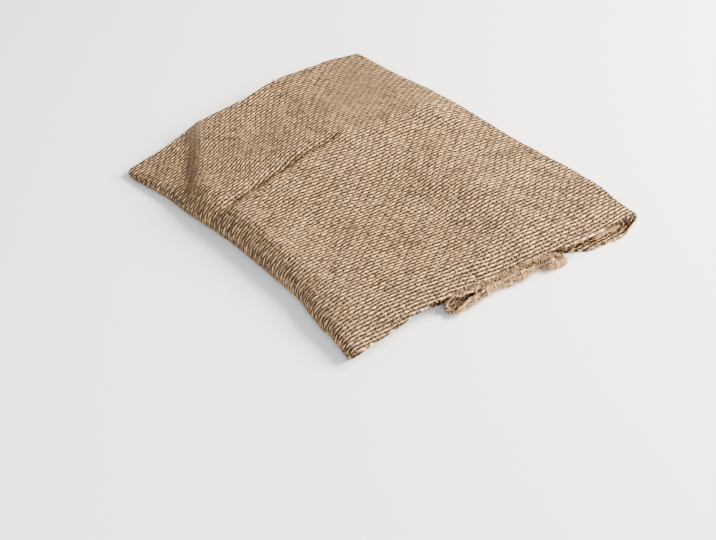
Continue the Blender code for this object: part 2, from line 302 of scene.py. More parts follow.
@dataclass(frozen=True)
class WovenJute:
    """Jute sacking: coarse yarn of natural bast fibre, plain woven on a loom, not bleached.

    The eye sees rows of short light dashes, where the yarns along the sack's length lie on top,
    with small dark holes between them, uneven because the spun fibre is thick and thin.
    """

    name: str = "jute_sacking_plain_weave"
    long: YarnSet = YarnSet(
        pitch=2.5, half_width=0.26, slub=0.14, narrowing=0.12, dip=0.16, own_step=7.31,
        wander_seed=1.0, slub_seed=11.0, shift_seed=61.0, tone_seed=31.0)
    cross: YarnSet = YarnSet(
        pitch=3.35, half_width=0.225, slub=0.17, narrowing=0.8, dip=0.36, own_step=5.17,
        wander_seed=5.0, slub_seed=17.0, shift_seed=67.0, tone_seed=37.0, upright=True)
    # The ramp follows each place's height: painted shade in the holes and down the yarns' flanks, and a
    # painted highlight on their backs.
    light: str = "#FCC585"
    flank: str = "#B58E63"
    middle: str = "#4F4235"
    hole_shade: str = "#2A2017"
    stops: tuple[float, ...] = (0.0, 0.42, 0.71, 0.93)      # of the hole, middle, flank and light
    stain: str = "#FFEFD8"            # what a stain multiplies the colour by
    shade: str = "#8B878C"            # painted shade that multiplies the colour, along fold lines and over shaded patches
    # Painted grey tint that gives cloth in shade its cooler colour.
    shade_grey: str = "#9A8B80"
    roughness: float = 0.92
    specular: float = 0.06
    relief: float = 1.1               # mm from a hole to the top of a yarn
    wander: tuple[float, float] = (26.0, 24.0)      # mm along and across the yarns
    stray: float = 0.60               # yarns, how far they wander
    slub_length: float = 9.0          # mm along a yarn from one thick place to the next
    shift: float = 0.30               # yarns, how far each moves by itself
    shift_length: float = 11.0        # mm along a yarn from one move to the next
    hole_scales: tuple[float, float] = (0.8, 0.9)   # random holes for each yarn, both ways
    loose_patch: tuple[float, float] = (17.0, 10.0)     # mm between loose patches, both ways
    looseness: float = 0.12           # how much more open the holes are in a loose patch
    tightness: float = 0.56           # how far open a hole is where it narrows no yarn
    thinnest: float = 0.06            # yarns, least half width
    widening: float = 0.12            # yarns, how much pressing adds to the half width
    crest: float = 1.5                # lift of a long yarn where it is on top
    trough: float = -0.5              # and where it is below: the slack long yarns ride high
    bent_proud: float = 0.30          # how far the cross yarns stand proud round a fold
    bent_sunk: float = 0.22           # and what share of their height the long yarns lose there
    fibre_size: tuple[float, float] = (1.8, 0.7)    # mm along and across the sack
    fibre_rise: float = 0.16          # share of a yarn's height that the streaks stand out
    pressed_relief: float = 0.6       # share of the relief that pressing takes away
    tone_length: float = 7.0          # mm along a yarn from a light to a dark stretch
    tone: float = 0.68                # share of the colour range that these stretches span
    cloud_size: float = 26.0          # mm from a light to a dark patch
    cloud: float = 0.16               # share of the colour range that the patches span
    cross_light: float = 0.95         # how light the top of a cross yarn is
    long_lighter: float = 0.10        # how much lighter the top of a long yarn is
    darkening: float = 0.255          # how far below the start of the colour range a hole lies, deepening its painted shade
    ply_light_and_shade: float = 0.045              # share of the colour range of painted light and shade that the slanting plies add
    pressed_tone: float = 0.475       # place on the ramp that pressed cloth draws towards; darker than the open weave, it paints shade on the left corner's turned face
    blot_size: tuple[float, float] = (6.0, 5.0)     # mm from blot to blot, both ways
    blot: float = 1.6                 # how much stronger a stain is in its blots
    most_stain: float = 0.7

    def material(self) -> bpy.types.Material:
        """Make the material from the cloth's own coordinates.

        Returns:
            The finished material.
        """
        material, tree, shader = new_material(self.name, self.roughness, self.specular)
        weave = self._weave(tree)
        tree.links.new(self._colour(weave), shader.inputs["Base Color"])
        add_relief(shader, weave.height, self.relief, weave.flat * -self.pressed_relief + 1.0)
        return material

    def _place(self, yarns: YarnSet, along: Term, across: Term) -> YarnPlace:
        """Find where each place of the cloth lies among the yarns of one set.

        Args:
            yarns: the set.
            along, across: mm along and across its yarns.

        Returns:
            The place among them.
        """
        # The yarns don't lie quite straight: they wander by about half a yarn over 3 to 4 cm.
        scales = (1 / self.wander[0], 1 / self.wander[1])
        wander = yarns.streaks(along, across, scales, yarns.wander_seed, detail=1.0)
        count = across / yarns.pitch + (wander - 0.5) * self.stray
        number = count.floor()
        own = number * yarns.own_step
        # Spun jute is thick and thin: each yarn's width changes along its length.
        slub = yarns.streaks(along, own, (1 / self.slub_length, 1.0), yarns.slub_seed, detail=2.0)
        # Each yarn also shifts sideways by itself, so some lie close together and some apart.
        shift = yarns.streaks(along, own, (1 / self.shift_length, 1.0), yarns.shift_seed, detail=1.0)
        off = count - number - 0.5 + (shift - 0.5) * self.shift
        return YarnPlace(along, count, number, own, off, slub)

    def _section(self, yarns: YarnSet, here: YarnPlace, beside: YarnPlace, over: Term, gape: Term,
                 flat: Term) -> tuple[Term, Term]:
        """Work out the round section of the yarn at each place.

        Args:
            yarns: its set.
            here: the place among its own set.
            beside: the place among the other set.
            over: its lift at the middle of this square of the weave.
            gape: how open the holes are here.
            flat: how far the cloth is pressed.

        Returns:
            The section from 0 at the yarn's side to 1 on its back, and how high it stands.
        """
        half = here.slub * yarns.slub + yarns.half_width
        # Pressed yarns are flat and wide, so they nearly touch.
        half = (half + gape * -yarns.narrowing).at_least(self.thinnest) + flat * self.widening
        rounded = (1.0 - (here.off / half) ** 2.0).at_least(0.0).root()
        wave = (beside.off * math.pi).cosine() * over
        return rounded, rounded * (wave * yarns.dip + (1 - yarns.dip))

    def _weave(self, tree: bpy.types.NodeTree) -> Weave:
        """Work out which yarn is on top at each place, and how high it stands."""
        place = add_node(tree, "ShaderNodeUVMap", {"uv_map": CLOTH_MAP})
        split = add_node(tree, "ShaderNodeSeparateXYZ", None, {0: place.outputs[0]})
        x, y = (Term(tree, split.outputs[axis]) * (1 / MM) for axis in (0, 1))
        long, cross = self._place(self.long, x, y), self._place(self.cross, y, x)
        flat = read_share(tree, Share.PRESSED)
        # The holes between four yarns are open or nearly closed at random, more so in some patches.
        loose = noise(x, y, (1 / self.loose_patch[0], 1 / self.loose_patch[1]), seed=71.0, detail=1.0)
        gape = noise(cross.count, long.count, self.hole_scales, seed=29.0, detail=0.0)
        gape = gape + loose * self.looseness - self.tightness
        # The long yarn is on top in every other square of the weave, and the cross yarn in the rest.
        parity = (long.number + cross.number).remainder(2.0)
        over = parity * (self.trough - self.crest) + self.crest
        _rounded, long_top = self._section(self.long, long, cross, over, gape, flat)
        cross_round, cross_top = self._section(self.cross, cross, long, over * -1.0, gape, flat)
        depth = long_top.at_least(cross_top)
        # Round a fold the cross yarns, which lie along it, stand proud of the ones that are bent.
        bent = read_share(tree, Share.ROUNDED)
        cross_top = cross_top + bent * self.bent_proud * cross_round
        long_top = long_top * (bent * -self.bent_sunk + 1.0)
        # Fibres lie along the yarn with a slight twist, so its surface is finely streaked.
        fibre = noise(x, y, (1 / self.fibre_size[0], 1 / self.fibre_size[1]), seed=23.0, detail=2.0)
        height = long_top.at_least(cross_top) + fibre * self.fibre_rise
        return Weave(x, y, long, cross, flat, fibre, depth, long_top.above(cross_top), height)

    def _colour(self, weave: Weave) -> bpy.types.NodeSocket:
        """Colour the yarns from their height: a painted highlight on their backs, painted shade down their
        flanks and in the holes, uneven from yarn to yarn.
        """
        tree, x, y = weave.x.tree, weave.x, weave.y
        long_tone, cross_tone = (
            yarns.streaks(here.along, here.own, (1 / self.tone_length, 1.0), yarns.tone_seed, detail=2.0)
            for yarns, here in ((self.long, weave.long), (self.cross, weave.cross)))
        tone = ((long_tone - cross_tone) * weave.long_shows + cross_tone - 0.5) * self.tone
        clouds = noise(x, y, (1 / self.cloud_size, 1 / self.cloud_size), seed=41.0, detail=3.0)
        # From the height: painted highlight on the yarns' backs, painted shade in the holes.
        back = (weave.long_shows * self.long_lighter + self.cross_light) * weave.depth - self.darkening
        # The plies slant, so painted light and shade also run diagonally over the crossings, as on lit and
        # shaded flanks.
        plies = ((weave.long.count + weave.cross.count) * (2 * math.pi)).cosine() * -self.ply_light_and_shade
        back = back + tone + (weave.fibre - 0.5) + (clouds - 0.5) * self.cloud + plies
        # Where the cloth was pressed, the yarns are flat and touch, so light and dark draw together, towards
        # a darker tone that paints shade on the left corner's turned face.
        back = back + (self.pressed_tone - back) * weave.flat
        cloth = ramp(tree, back, tuple(zip(self.stops, (self.hole_shade, self.middle, self.flank, self.light))))
        # A painted grey tint gives the left corner's turned face the cooler colour of cloth in shade.
        cloth = cover(read_share(tree, Share.SHADE_GREY), cloth, "MIX", self.shade_grey)
        # Wet jute has darkened to rust-brown at a few places, in blots with ragged edges.
        blots = noise(x, y, (1 / self.blot_size[0], 1 / self.blot_size[1]), seed=53.0, detail=2.0)
        marks = read_share(tree, Share.STAINED) * ((blots - 0.5) * self.blot + 1.0)
        cloth = cover(marks.at_most(self.most_stain).at_least(0.0), cloth, "MULTIPLY", self.stain)
        # Painted shade: darker along the sharp fold lines, on the left corner's turned face, and over broad
        # patches behind the old fold and on the back corner.
        return cover(read_share(tree, Share.PAINTED_SHADE), cloth, "MULTIPLY", self.shade)


@dataclass(frozen=True)
class SpunJute:
    """Jute yarn or twine: twisted by spinning, so it has slanting plies and a hairy, matt surface."""

    name: str = "jute_twine_spun"
    light: str = "#C6A176"
    dark: str = "#7A5B3F"
    stops: tuple[float, float] = (0.45, 0.95)      # of the dark and the light
    ply: float = 2.2          # mm along the twine from one ply to the next
    stretch: float = 9.0      # plies from a light to a dark stretch
    stretch_share: float = 0.5
    roughness: float = 0.9
    specular: float = 0.25
    relief: float = 0.3       # mm from between two plies to the top of one
    firmness: float = 0.7

    def material(self) -> bpy.types.Material:
        """Make the material from the object's own place.

        Returns:
            The finished material.
        """
        material, tree, shader = new_material(self.name, self.roughness, self.specular)
        place = add_node(tree, "ShaderNodeTexCoord").outputs["Object"]
        plies, stretches = (
            Term(tree, add_node(tree, "ShaderNodeTexNoise", None, {
                "Vector": place, "Scale": 1 / (size * MM), "Detail": detail, "Distortion": warp}).outputs[0])
            for size, detail, warp in ((self.ply, 3.0, 0.8), (self.stretch * self.ply, 1.0, 0.0)))
        tone = stretches * self.stretch_share + plies
        colour = ramp(tree, tone, tuple(zip(self.stops, (self.dark, self.light))))
        tree.links.new(colour, shader.inputs["Base Color"])
        add_relief(shader, plies, self.relief, self.firmness)
        return material


@dataclass(frozen=True)
class MattPaper:
    """Studio background paper: uncoated and matt, so it shows only soft shadows."""

    name: str = "background_paper_matt"
    colour: str = "#F4F3F1"
    roughness: float = 0.95

    def material(self) -> bpy.types.Material:
        """Make the plain material and return it."""
        material, _tree, shader = new_material(self.name, self.roughness)
        shader.inputs["Base Color"].default_value = linear(self.colour)
        return material


# ---- shape of the folded pack --------------------------------------------------------------------
def ease(share: Array | float) -> Array:
    """Smooth step from 0 to 1."""
    share = np.clip(share, 0.0, 1.0)
    return share * share * (3.0 - 2.0 * share)


def read_rows(rows: Sequence[Sequence[float]], column: int, position: Array | float) -> Array:
    """Read one column of a table, eased between its rows.

    Args:
        rows: the table, whose first column rises.
        column: the column to read.
        position: where to read it, along the first column.

    Returns:
        The values, in the shape of the position.
    """
    position = np.asarray(position, float)
    keys = np.array([row[0] for row in rows], float)
    values = np.array([row[column] for row in rows], float)
    low = np.clip(np.searchsorted(keys, position, side="right") - 1, 0, len(keys) - 2)
    share = ease((position - keys[low]) / (keys[low + 1] - keys[low]))
    return values[low] + (values[low + 1] - values[low]) * share


class Layer(Enum):
    """The three thirds of the folded sack, by their place in the pack."""

    BOTTOM = "bottom"
    TOP = "top"
    MIDDLE = "middle"


@dataclass(frozen=True)
class Station:
    """A place along the sack where the cloth's edges are known.

    clean, seam and back are how far the closed side, the sewn side and the half fold stop short of
    the pack's front and back lines. rows is the number of mesh rows up to the next station.
    """

    layer: Layer
    x: float
    clean: float
    seam: float
    back: float
    rows: int


@dataclass(frozen=True)
class Mound:
    """A soft rise: centre, reach along and across, amount, and turn in degrees."""

    name: str
    x: float
    y: float
    along: float
    across: float
    amount: float
    turn: float = 0.0

    def value(self, x: Array, y: Array) -> Array:
        """Return its height at each place."""
        turn = math.radians(self.turn)
        dx, dy = x - self.x, y - self.y
        along = (dx * math.cos(turn) + dy * math.sin(turn)) / self.along
        across = (dy * math.cos(turn) - dx * math.sin(turn)) / self.across
        return self.amount * np.exp(-(along * along + across * across))


@dataclass(frozen=True)
class Line:
    """A straight line on the pack, seen from above."""

    name: str
    x0: float
    y0: float
    x1: float
    y1: float

    def near(self, x: Array, y: Array) -> tuple[Array, Array, Array]:
        """Measure places from the line.

        Args:
            x, y: the places.

        Returns:
            How far each lies to the line's left, how far past its ends, and its share of the way.
        """
        dx, dy = self.x1 - self.x0, self.y1 - self.y0
        length = math.hypot(dx, dy)
        along = ((x - self.x0) * dx + (y - self.y0) * dy) / length
        beside = ((y - self.y0) * dx - (x - self.x0) * dy) / length
        past = np.maximum(np.maximum(-along, along - length), 0.0)
        return beside, past, np.clip(along / length, 0.0, 1.0)


@dataclass(frozen=True)
class Crease(Line):
    """A soft trough, or a ridge where its depth is below 0, along a straight line."""

    depth: float
    half_width: float

    def value(self, x: Array, y: Array) -> Array:
        """Return its depth at each place."""
        beside, past, _share = self.near(x, y)
        return self.depth * np.exp(-(beside * beside + past * past) / self.half_width ** 2)


@dataclass(frozen=True)
class Step(Line):
    """A fold line where the cloth on its left stands higher, and slopes away from it slowly.

    The lift and the slope's half width change evenly from the line's start to its end.
    """

    lift: float
    lift_end: float
    half: float
    half_end: float
    reach: float                  # how far the raised cloth slopes away
    fade: float = 12.0            # how far the step runs on past its ends
    face_fade: float = 4.0

    def value(self, x: Array, y: Array) -> Array:
        """Return its height at each place."""
        beside, past, share = self.near(x, y)
        half = self.half + (self.half_end - self.half) * share
        lift = self.lift + (self.lift_end - self.lift) * share
        rise = np.clip(0.5 + beside / (2 * half), 0.0, 1.0)
        slope = np.exp(-(np.maximum(beside, 0.0) / self.reach) ** 2)
        return lift * rise * slope * np.exp(-(past / self.fade) ** 2)

    def face(self, x: Array, y: Array) -> Array:
        """Return how far each place lies on the slope itself, from 0 to 1."""
        beside, past, share = self.near(x, y)
        half = self.half + (self.half_end - self.half) * share
        return np.clip(0.5 + half - np.abs(beside), 0.0, 1.0) * np.exp(-(past / self.face_fade) ** 2)


@dataclass(frozen=True)
class Ripples:
    """Fine unevenness of slack cloth: many small waves of different lengths and directions."""

    seed: int
    height: float
    shortest: float
    longest: float
    count: int = 26

    def value(self, x: Array, y: Array) -> Array:
        """Return the sum of the waves at each place."""
        draw = np.random.default_rng(self.seed)
        total = np.zeros(np.broadcast(x, y).shape)
        for _ in range(self.count):
            length = self.shortest * (self.longest / self.shortest) ** draw.random()
            turn, phase = draw.random(2) * 2 * math.pi
            ahead = x * math.cos(turn) + y * math.sin(turn)
            total += length * np.cos(2 * math.pi * ahead / length + phase)
        return self.height * total / (self.longest * math.sqrt(self.count / 2))


Rows = tuple[tuple[float, float], ...]


@dataclass(frozen=True)
class PackShape:
    """The neat pack of layers, and how it settles into its real outline and heights.

    The edge tables give, for shares of the way along an edge, how far it stands out of the straight
    line between its corners.
    """

    sheet: float = 1.5
    gap: float = 0.6
    length: float = 226.0
    width: float = 265.0
    left: tuple[float, float] = (-106.0, 125.0)
    front: tuple[float, float] = (-118.5, -127.5)
    right: tuple[float, float] = (111.5, -136.5)
    back: tuple[float, float] = (114.5, 143.0)
    front_edge: Rows = ((0.0, 0.0), (0.25, -2.0), (0.55, 0.0), (0.8, 1.5), (1.0, 0.0))
    back_edge: Rows = (
        (0.0, 0.0), (0.14, 1.0), (0.27, 5.5), (0.48, 6.0), (0.66, 11.5), (0.85, 8.0), (1.0, 0.0))
    left_edge: Rows = ((0.0, 0.0), (0.12, -4.5), (0.3, -10.5), (0.5, -11.0), (0.8, -6.5), (1.0, 0.0))
    right_edge: Rows = ((0.0, 0.0), (0.15, 4.5), (0.42, 3.5), (0.66, 4.0), (1.0, 0.0))
    squash: tuple[Mound, ...] = (
        Mound("left corner", -112.0, 130.0, 46.0, 34.0, -0.38, turn=50.0),
        Mound("front corner", -116.0, -128.0, 60.0, 24.0, -0.16),
        Mound("front edge beside the seam", -62.0, -130.0, 46.0, 14.0, -0.14),
        Mound("left edge", -106.0, -15.0, 26.0, 74.0, 0.18),
        Mound("right tip", 112.0, -128.0, 40.0, 50.0, 0.06),
        Mound("back edge", 20.0, 138.0, 75.0, 30.0, 0.10),
        Mound("right edge", 108.0, 38.0, 35.0, 55.0, 0.22),
        Mound("right edge, front half", 112.0, -70.0, 35.0, 45.0, 0.16),
    )
    air: tuple[Mound, ...] = (
        Mound("whole pack", 0.0, -10.0, 115.0, 130.0, 2.4),
        Mound("ridge of the old fold", -22.0, 28.0, 76.0, 32.0, 4.2, turn=6.0),
        Mound("slope behind the old fold", -12.0, 62.0, 78.0, 27.0, 3.4, turn=8.0),
        Mound("ridge near the right edge", 74.0, 40.0, 36.0, 20.0, 2.6),
        Mound("shoulder along the left edge", -90.0, -25.0, 24.0, 62.0, 2.6),
        Mound("swell near the right edge", 46.0, -52.0, 28.0, 58.0, 3.8),
        Mound("swell near the front edge", 5.0, -104.0, 62.0, 16.0, 1.0),
    )
    creases: tuple[Crease, ...] = (
        Crease("old fold line", -88.0, 31.0, 14.0, 50.0, 1.5, 4.0),
        Crease("old fold line, right part", 22.0, 46.0, 100.0, 43.0, -1.2, 9.0),
        Crease("faint cross crease", 14.0, 50.0, 5.0, 88.0, 0.9, 2.6),
    )
    old_fold: Step = Step("old fold", 15.0, 48.6, -86.0, 29.0, 3.0, 0.8, 1.5, 2.0, 34.0)
    turned_corner: Step = Step(
        "left corner, turned down", -42.0, 134.0, -97.0, 60.0, 1.6, 2.0, 5.2, 0.8, 30.0)
    # Outside this line the pack is pressed down by its depth.
    corner_line: Crease = Crease("left corner", -46.0, 134.0, -95.0, 58.0, 0.26, 6.5)
    least_air: float = -0.18
    fade_left: float = 15.0           # over these lengths from each edge, the top layer's sag dies out
    fade_right: float = 28.0
    fade_front: float = 24.0
    fade_back: float = 34.0
    lean_front: float = 12.0          # how far the lowest cloth is drawn in under the right edge
    lean_back: float = 3.0
    lean_zone: float = 52.0
    lean_change: float = 1.6          # how fast the lean changes from the front to the back
    lean_power: float = 1.5
    slack: Ripples = Ripples(seed=7, height=0.36, shortest=7.0, longest=42.0)
    slack_at_edge: float = 0.25       # share of the unevenness that reaches the edges
    stray: Ripples = Ripples(seed=19, height=0.45, shortest=12.0, longest=60.0)
    stray_apart: float = 300.0        # so that the sideways moves along X and Y differ

    @property
    def pair(self) -> float:
        """From a layer's middle to the middle of either of its sheets."""
        return (self.sheet + self.gap) / 2

    @property
    def layer(self) -> float:
        """Thickness of a layer: the sack folded in half, two sheets."""
        return 2 * self.sheet + self.gap

    @property
    def heights(self) -> tuple[float, float, float]:
        """Heights of the middles of the bottom, middle and top layers."""
        rise = self.layer + self.gap
        return self.layer / 2, self.layer / 2 + rise, self.layer / 2 + 2 * rise

    @property
    def bend_radius(self) -> float:
        """Radius of a layer's middle where a third turns under."""
        return (self.heights[2] - self.heights[0]) / 2

    @property
    def run_end(self) -> float:
        """Where the straight run ends and a bend starts, along X."""
        return self.length / 2 - self.bend_radius - self.layer / 2

    def outline(self, u: Array, v: Array) -> tuple[Array, Array]:
        """Return plan positions for shares of the length from the left and of the width from the front."""
        low = [a + (b - a) * u for a, b in zip(self.front, self.right)]
        high = [a + (b - a) * u for a, b in zip(self.left, self.back)]
        x, y = (a + (b - a) * v for a, b in zip(low, high))
        y = y - (1 - v) * read_rows(self.front_edge, 1, u) + v * read_rows(self.back_edge, 1, u)
        x = x - (1 - u) * read_rows(self.left_edge, 1, v) + u * read_rows(self.right_edge, 1, v)
        return x, y

    def sag(self, x: Array, y: Array, inside: Array) -> Array:
        """Work out how far the top sheet stands off the neat pack.

        Args:
            x, y: places on the pack, seen from above.
            inside: from 0 at the pack's edges to 1 well inside.

        Returns:
            The heights.
        """
        air = inside * sum(mound.value(x, y) for mound in self.air)
        air = air - inside * sum(crease.value(x, y) for crease in self.creases)
        air = air + inside * (self.old_fold.value(x, y) + self.turned_corner.value(x, y))
        uneven = self.slack.value(x, y) * (self.slack_at_edge + (1 - self.slack_at_edge) * inside)
        return np.maximum(air, self.least_air) + uneven

    def settle(self, x: Array, y: Array, z: Array) -> Array:
        """Give points of the neat pack their place in the real one.

        Args:
            x, y, z: places in the neat pack.

        Returns:
            Places in the settled pack, with a last axis of three.
        """
        u, v = x / self.length + 0.5, y / self.width + 0.5
        up = np.clip(z / (self.heights[2] + self.layer / 2), 0, 1)
        lean = self.lean_front + (self.lean_back - self.lean_front) * ease(v * self.lean_change)
        near_right = ease((x - (self.length / 2 - self.lean_zone)) / self.lean_zone)
        u = u - lean * (1 - up) ** self.lean_power * near_right / self.length
        px, py = self.outline(u, v)
        pressed = 1 + sum(mound.value(px, py) for mound in self.squash)
        beside, _past, _share = self.corner_line.near(px, py)
        pressed = pressed - self.corner_line.depth * ease(0.5 - beside / (2 * self.corner_line.half_width))
        inside = ease(u * self.length / self.fade_left) * ease((1 - u) * self.length / self.fade_right)
        inside = inside * ease(v * self.width / self.fade_front) * ease((1 - v) * self.width / self.fade_back)
        lifted = np.clip((z - self.heights[1] - self.layer / 2) / self.gap, 0, 1)
        height = z * pressed + self.sag(px, py, inside) * lifted
        px = px + self.stray.value(px, py) * up
        py = py + self.stray.value(py + self.stray_apart, px) * up
        return np.stack([px, py, height], axis=-1)


# ---- meshes --------------------------------------------------------------------------------------
def thin_sheet(rows: int, columns: int) -> tuple[list[tuple[int, ...]], Array]:
    """Number the faces of a sheet with two skins, each a grid of the same rows and columns.

    Args:
        rows: vertices along one way.
        columns: vertices along the other.

    Returns:
        The faces of both skins, and the first skin's vertices round its rim, in order.
    """
    number = np.arange(rows * columns).reshape(rows, columns)
    quads = np.stack([number[:-1, :-1], number[:-1, 1:], number[1:, 1:], number[1:, :-1]], axis=-1)
    quads = quads.reshape(-1, 4)
    faces = [tuple(quad) for quad in quads] + [tuple(quad[::-1] + rows * columns) for quad in quads]
    return faces, np.concatenate([number[0, :-1], number[:-1, -1], number[-1, :0:-1], number[:0:-1, 0]])


def unit(rows: Array) -> Array:
    """Scale vectors to a length of 1, along the last axis."""
    return rows / (np.linalg.norm(rows, axis=-1, keepdims=True) + TINY)


def make_piece(name: str, points: Array, faces: Sequence[Sequence[int]], material: bpy.types.Material,
               cloth: Array | None = None, shares: dict[Share, Array] | None = None) -> bpy.types.Object:
    """Make a smooth mesh object from points in metres.

    Args:
        name: the object's name.
        points: one row of three for each vertex.
        faces: vertex numbers of each face.
        material: its finish.
        cloth: the cloth's own coordinates of each face corner, in metres, where it is woven.
        shares: amounts from 0 to 1 for each vertex, which the finish reads.

    Returns:
        The object, which rides on the sack's body.
    """
    data = bpy.data.meshes.new(name)
    data.from_pydata([tuple(point) for point in points], [], [tuple(face) for face in faces])
    if cloth is not None:
        data.uv_layers.new(name=CLOTH_MAP).uv.foreach_set("vector", cloth.astype(np.float32).ravel())
    for share, amounts in (shares or {}).items():
        values = data.attributes.new(share.value, "FLOAT", "POINT").data
        values.foreach_set("value", amounts.astype(np.float32))
    data.shade_smooth()
    data.materials.append(material)
    piece = bpy.data.objects.new(name, data)
    bpy.context.scene.collection.objects.link(piece)
    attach(piece, BODY)
    LOG.info("%s: %d vertices, %d faces", name, len(data.vertices), len(data.polygons))
    return piece


class Strands:
    """Many thin round strands, gathered into one mesh."""

    GUIDES = np.array([[0.31, 0.17, 0.93], [0.93, 0.31, 0.17]])     # for level strands, and for steep ones
    STEEP = 0.8

    def __init__(self, sides: int) -> None:
        """Start with no strand; each will have this many sides."""
        self.sides = sides
        self.points: list[Array] = []
        self.faces: list[tuple[int, ...]] = []
        self.total = 0

    def add(self, path: Array, radii: Array | float) -> None:
        """Add one strand.

        Args:
            path: points along its middle.
            radii: its radius, or one for each point.
        """
        path = np.asarray(path, float)
        count = len(path)
        radii = np.broadcast_to(np.asarray(radii, float), (count,))
        ahead = unit(np.gradient(path, axis=0))
        first = unit(np.cross(ahead, self.GUIDES[int(abs(ahead[0][2]) >= self.STEEP)]))
        second = np.cross(ahead, first)
        angle = np.arange(self.sides) * 2 * math.pi / self.sides
        ring = first[:, None] * np.cos(angle)[None, :, None] + second[:, None] * np.sin(angle)[None, :, None]
        self.points.append((path[:, None] + ring * radii[:, None, None]).reshape(-1, 3))
        end = self.total + (count - 1) * self.sides
        for here in range(self.total, end, self.sides):
            after = here + self.sides
            for side in range(self.sides):
                beside = (side + 1) % self.sides
                self.faces.append((here + side, here + beside, after + beside, after + side))
        self.faces.append(tuple(self.total + side for side in reversed(range(self.sides))))
        self.faces.append(tuple(end + side for side in range(self.sides)))
        self.total += count * self.sides

    def piece(self, name: str, material: bpy.types.Material) -> bpy.types.Object:
        """Make the mesh object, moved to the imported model's origin and turned into metres."""
        return make_piece(name, (np.concatenate(self.points) - ORIGIN_IN_PACK) * MM, self.faces, material)


@dataclass(frozen=True)
class Fuzz:
    """A kind of loose strand. Its heading has a mean and a spread along X, Y and Z."""

    count: int
    heading: tuple[tuple[float, float], ...]
    length: tuple[float, float]
    sag: float                        # how much it turns down over its length
    radii: tuple[float, float]        # at its root and its end
    points: int = 6
    bend: float = 1.6                 # how strongly it bends, all along
    waver: float = 0.8                # how much it changes from point to point
    lowest: float = 0.5               # least height of its middle over the floor

    def curl(self, draw: np.random.Generator, start: Array, heading: Array) -> Array:
        """Draw a strand that bends as it goes.

        Args:
            draw: source of its random bends.
            start: where it leaves the cloth.
            heading: direction in which it leaves.

        Returns:
            One row for each point.
        """
        length, steps = draw.uniform(*self.length), self.points - 1
        ahead = heading / np.linalg.norm(heading)
        bend = draw.normal(0.0, self.bend, 3)
        down = np.array([0.0, 0.0, self.sag / self.points])
        path = [np.array(start, float)]
        for _ in range(steps):
            path.append(path[-1] + ahead * length / steps)
            ahead = ahead + (bend + draw.normal(0.0, self.waver, 3)) / self.points + down
            ahead /= np.linalg.norm(ahead)
        path = np.array(path)
        path[:, 2] = np.maximum(path[:, 2], self.lowest)
        return path

    def grow(self, draw: np.random.Generator, strands: Strands, start: Array) -> None:
        """Add one strand with its own heading. A part of the heading with no spread takes no draw."""
        heading = np.array([draw.normal(mean, spread) if spread else mean for mean, spread in self.heading])
        strands.add(self.curl(draw, start, heading), np.linspace(*self.radii, self.points))


# ---- the folded cloth ----------------------------------------------------------------------------
@dataclass(frozen=True)
class YarnDrift:
    """How far the folded cloth's yarns lie off their straight lines.

    The sack was folded by hand, so in the left front quarter its long yarns slant towards the front
    edge, behind the old fold they slant the other way, and the cross yarns run straight past the
    flare of the front corner. Behind the old fold the cloth is tucked, so its yarns break off there.
    """

    tuck: tuple[float, float, float] = (15.0, 47.5, 0.18)     # a place on the tuck, and its slope
    tuck_end: float = 4.0             # right of here the tuck spreads out
    tuck_half: tuple[float, float] = (0.02, 34.0)             # its half width at its start, and what it gains
    tuck_spread: float = 50.0
    front_slant: float = 9.0
    front_run: tuple[float, float] = (-95.0, 120.0)           # where the slant starts, and its length
    back_slant: float = 17.3
    back_swing: float = 13.0
    back_run: tuple[float, float] = (-45.0, 65.0)             # middle of the swing, and its reach
    back_growth: float = 0.12         # how much the slant grows for each mm past this place
    back_growth_from: float = 20.0
    flare: float = 11.0
    flare_deep: tuple[float, float] = (-132.0, 95.0)          # where the flare starts, and its reach
    flare_long: tuple[float, float] = (-100.0, 130.0)

    def value(self, x: Array, y: Array, middle_y: Array) -> Array:
        """Work out the drift along the sack and across it.

        Args:
            x, y: places in the neat pack.
            middle_y: y of the middle of the face, which tells the side of the tuck it is on.

        Returns:
            Both drifts, on a last axis of two.
        """
        tuck_x, tuck_y, slope = self.tuck
        half = self.tuck_half[0] + self.tuck_half[1] * ease((x - self.tuck_end) / self.tuck_spread)
        past_tuck = np.where(x < self.tuck_end, middle_y, y) - tuck_y - slope * (x - tuck_x)
        behind = ease(0.5 + past_tuck / (2 * half))
        front = self.front_slant * (ease((x - self.front_run[0]) / self.front_run[1]) - 0.5)
        swing = np.sin(np.clip((x - self.back_run[0]) / self.back_run[1], -1.0, 1.0) * math.pi / 2)
        back = self.back_slant - self.back_swing * swing
        back = back + self.back_growth * np.maximum(x - self.back_growth_from, 0.0)
        flare = self.flare * (1 - ease((y - self.flare_deep[0]) / self.flare_deep[1]))
        flare = flare * (1 - ease((x - self.flare_long[0]) / self.flare_long[1]))
        return np.stack([flare, front + (back - front) * behind], axis=-1)


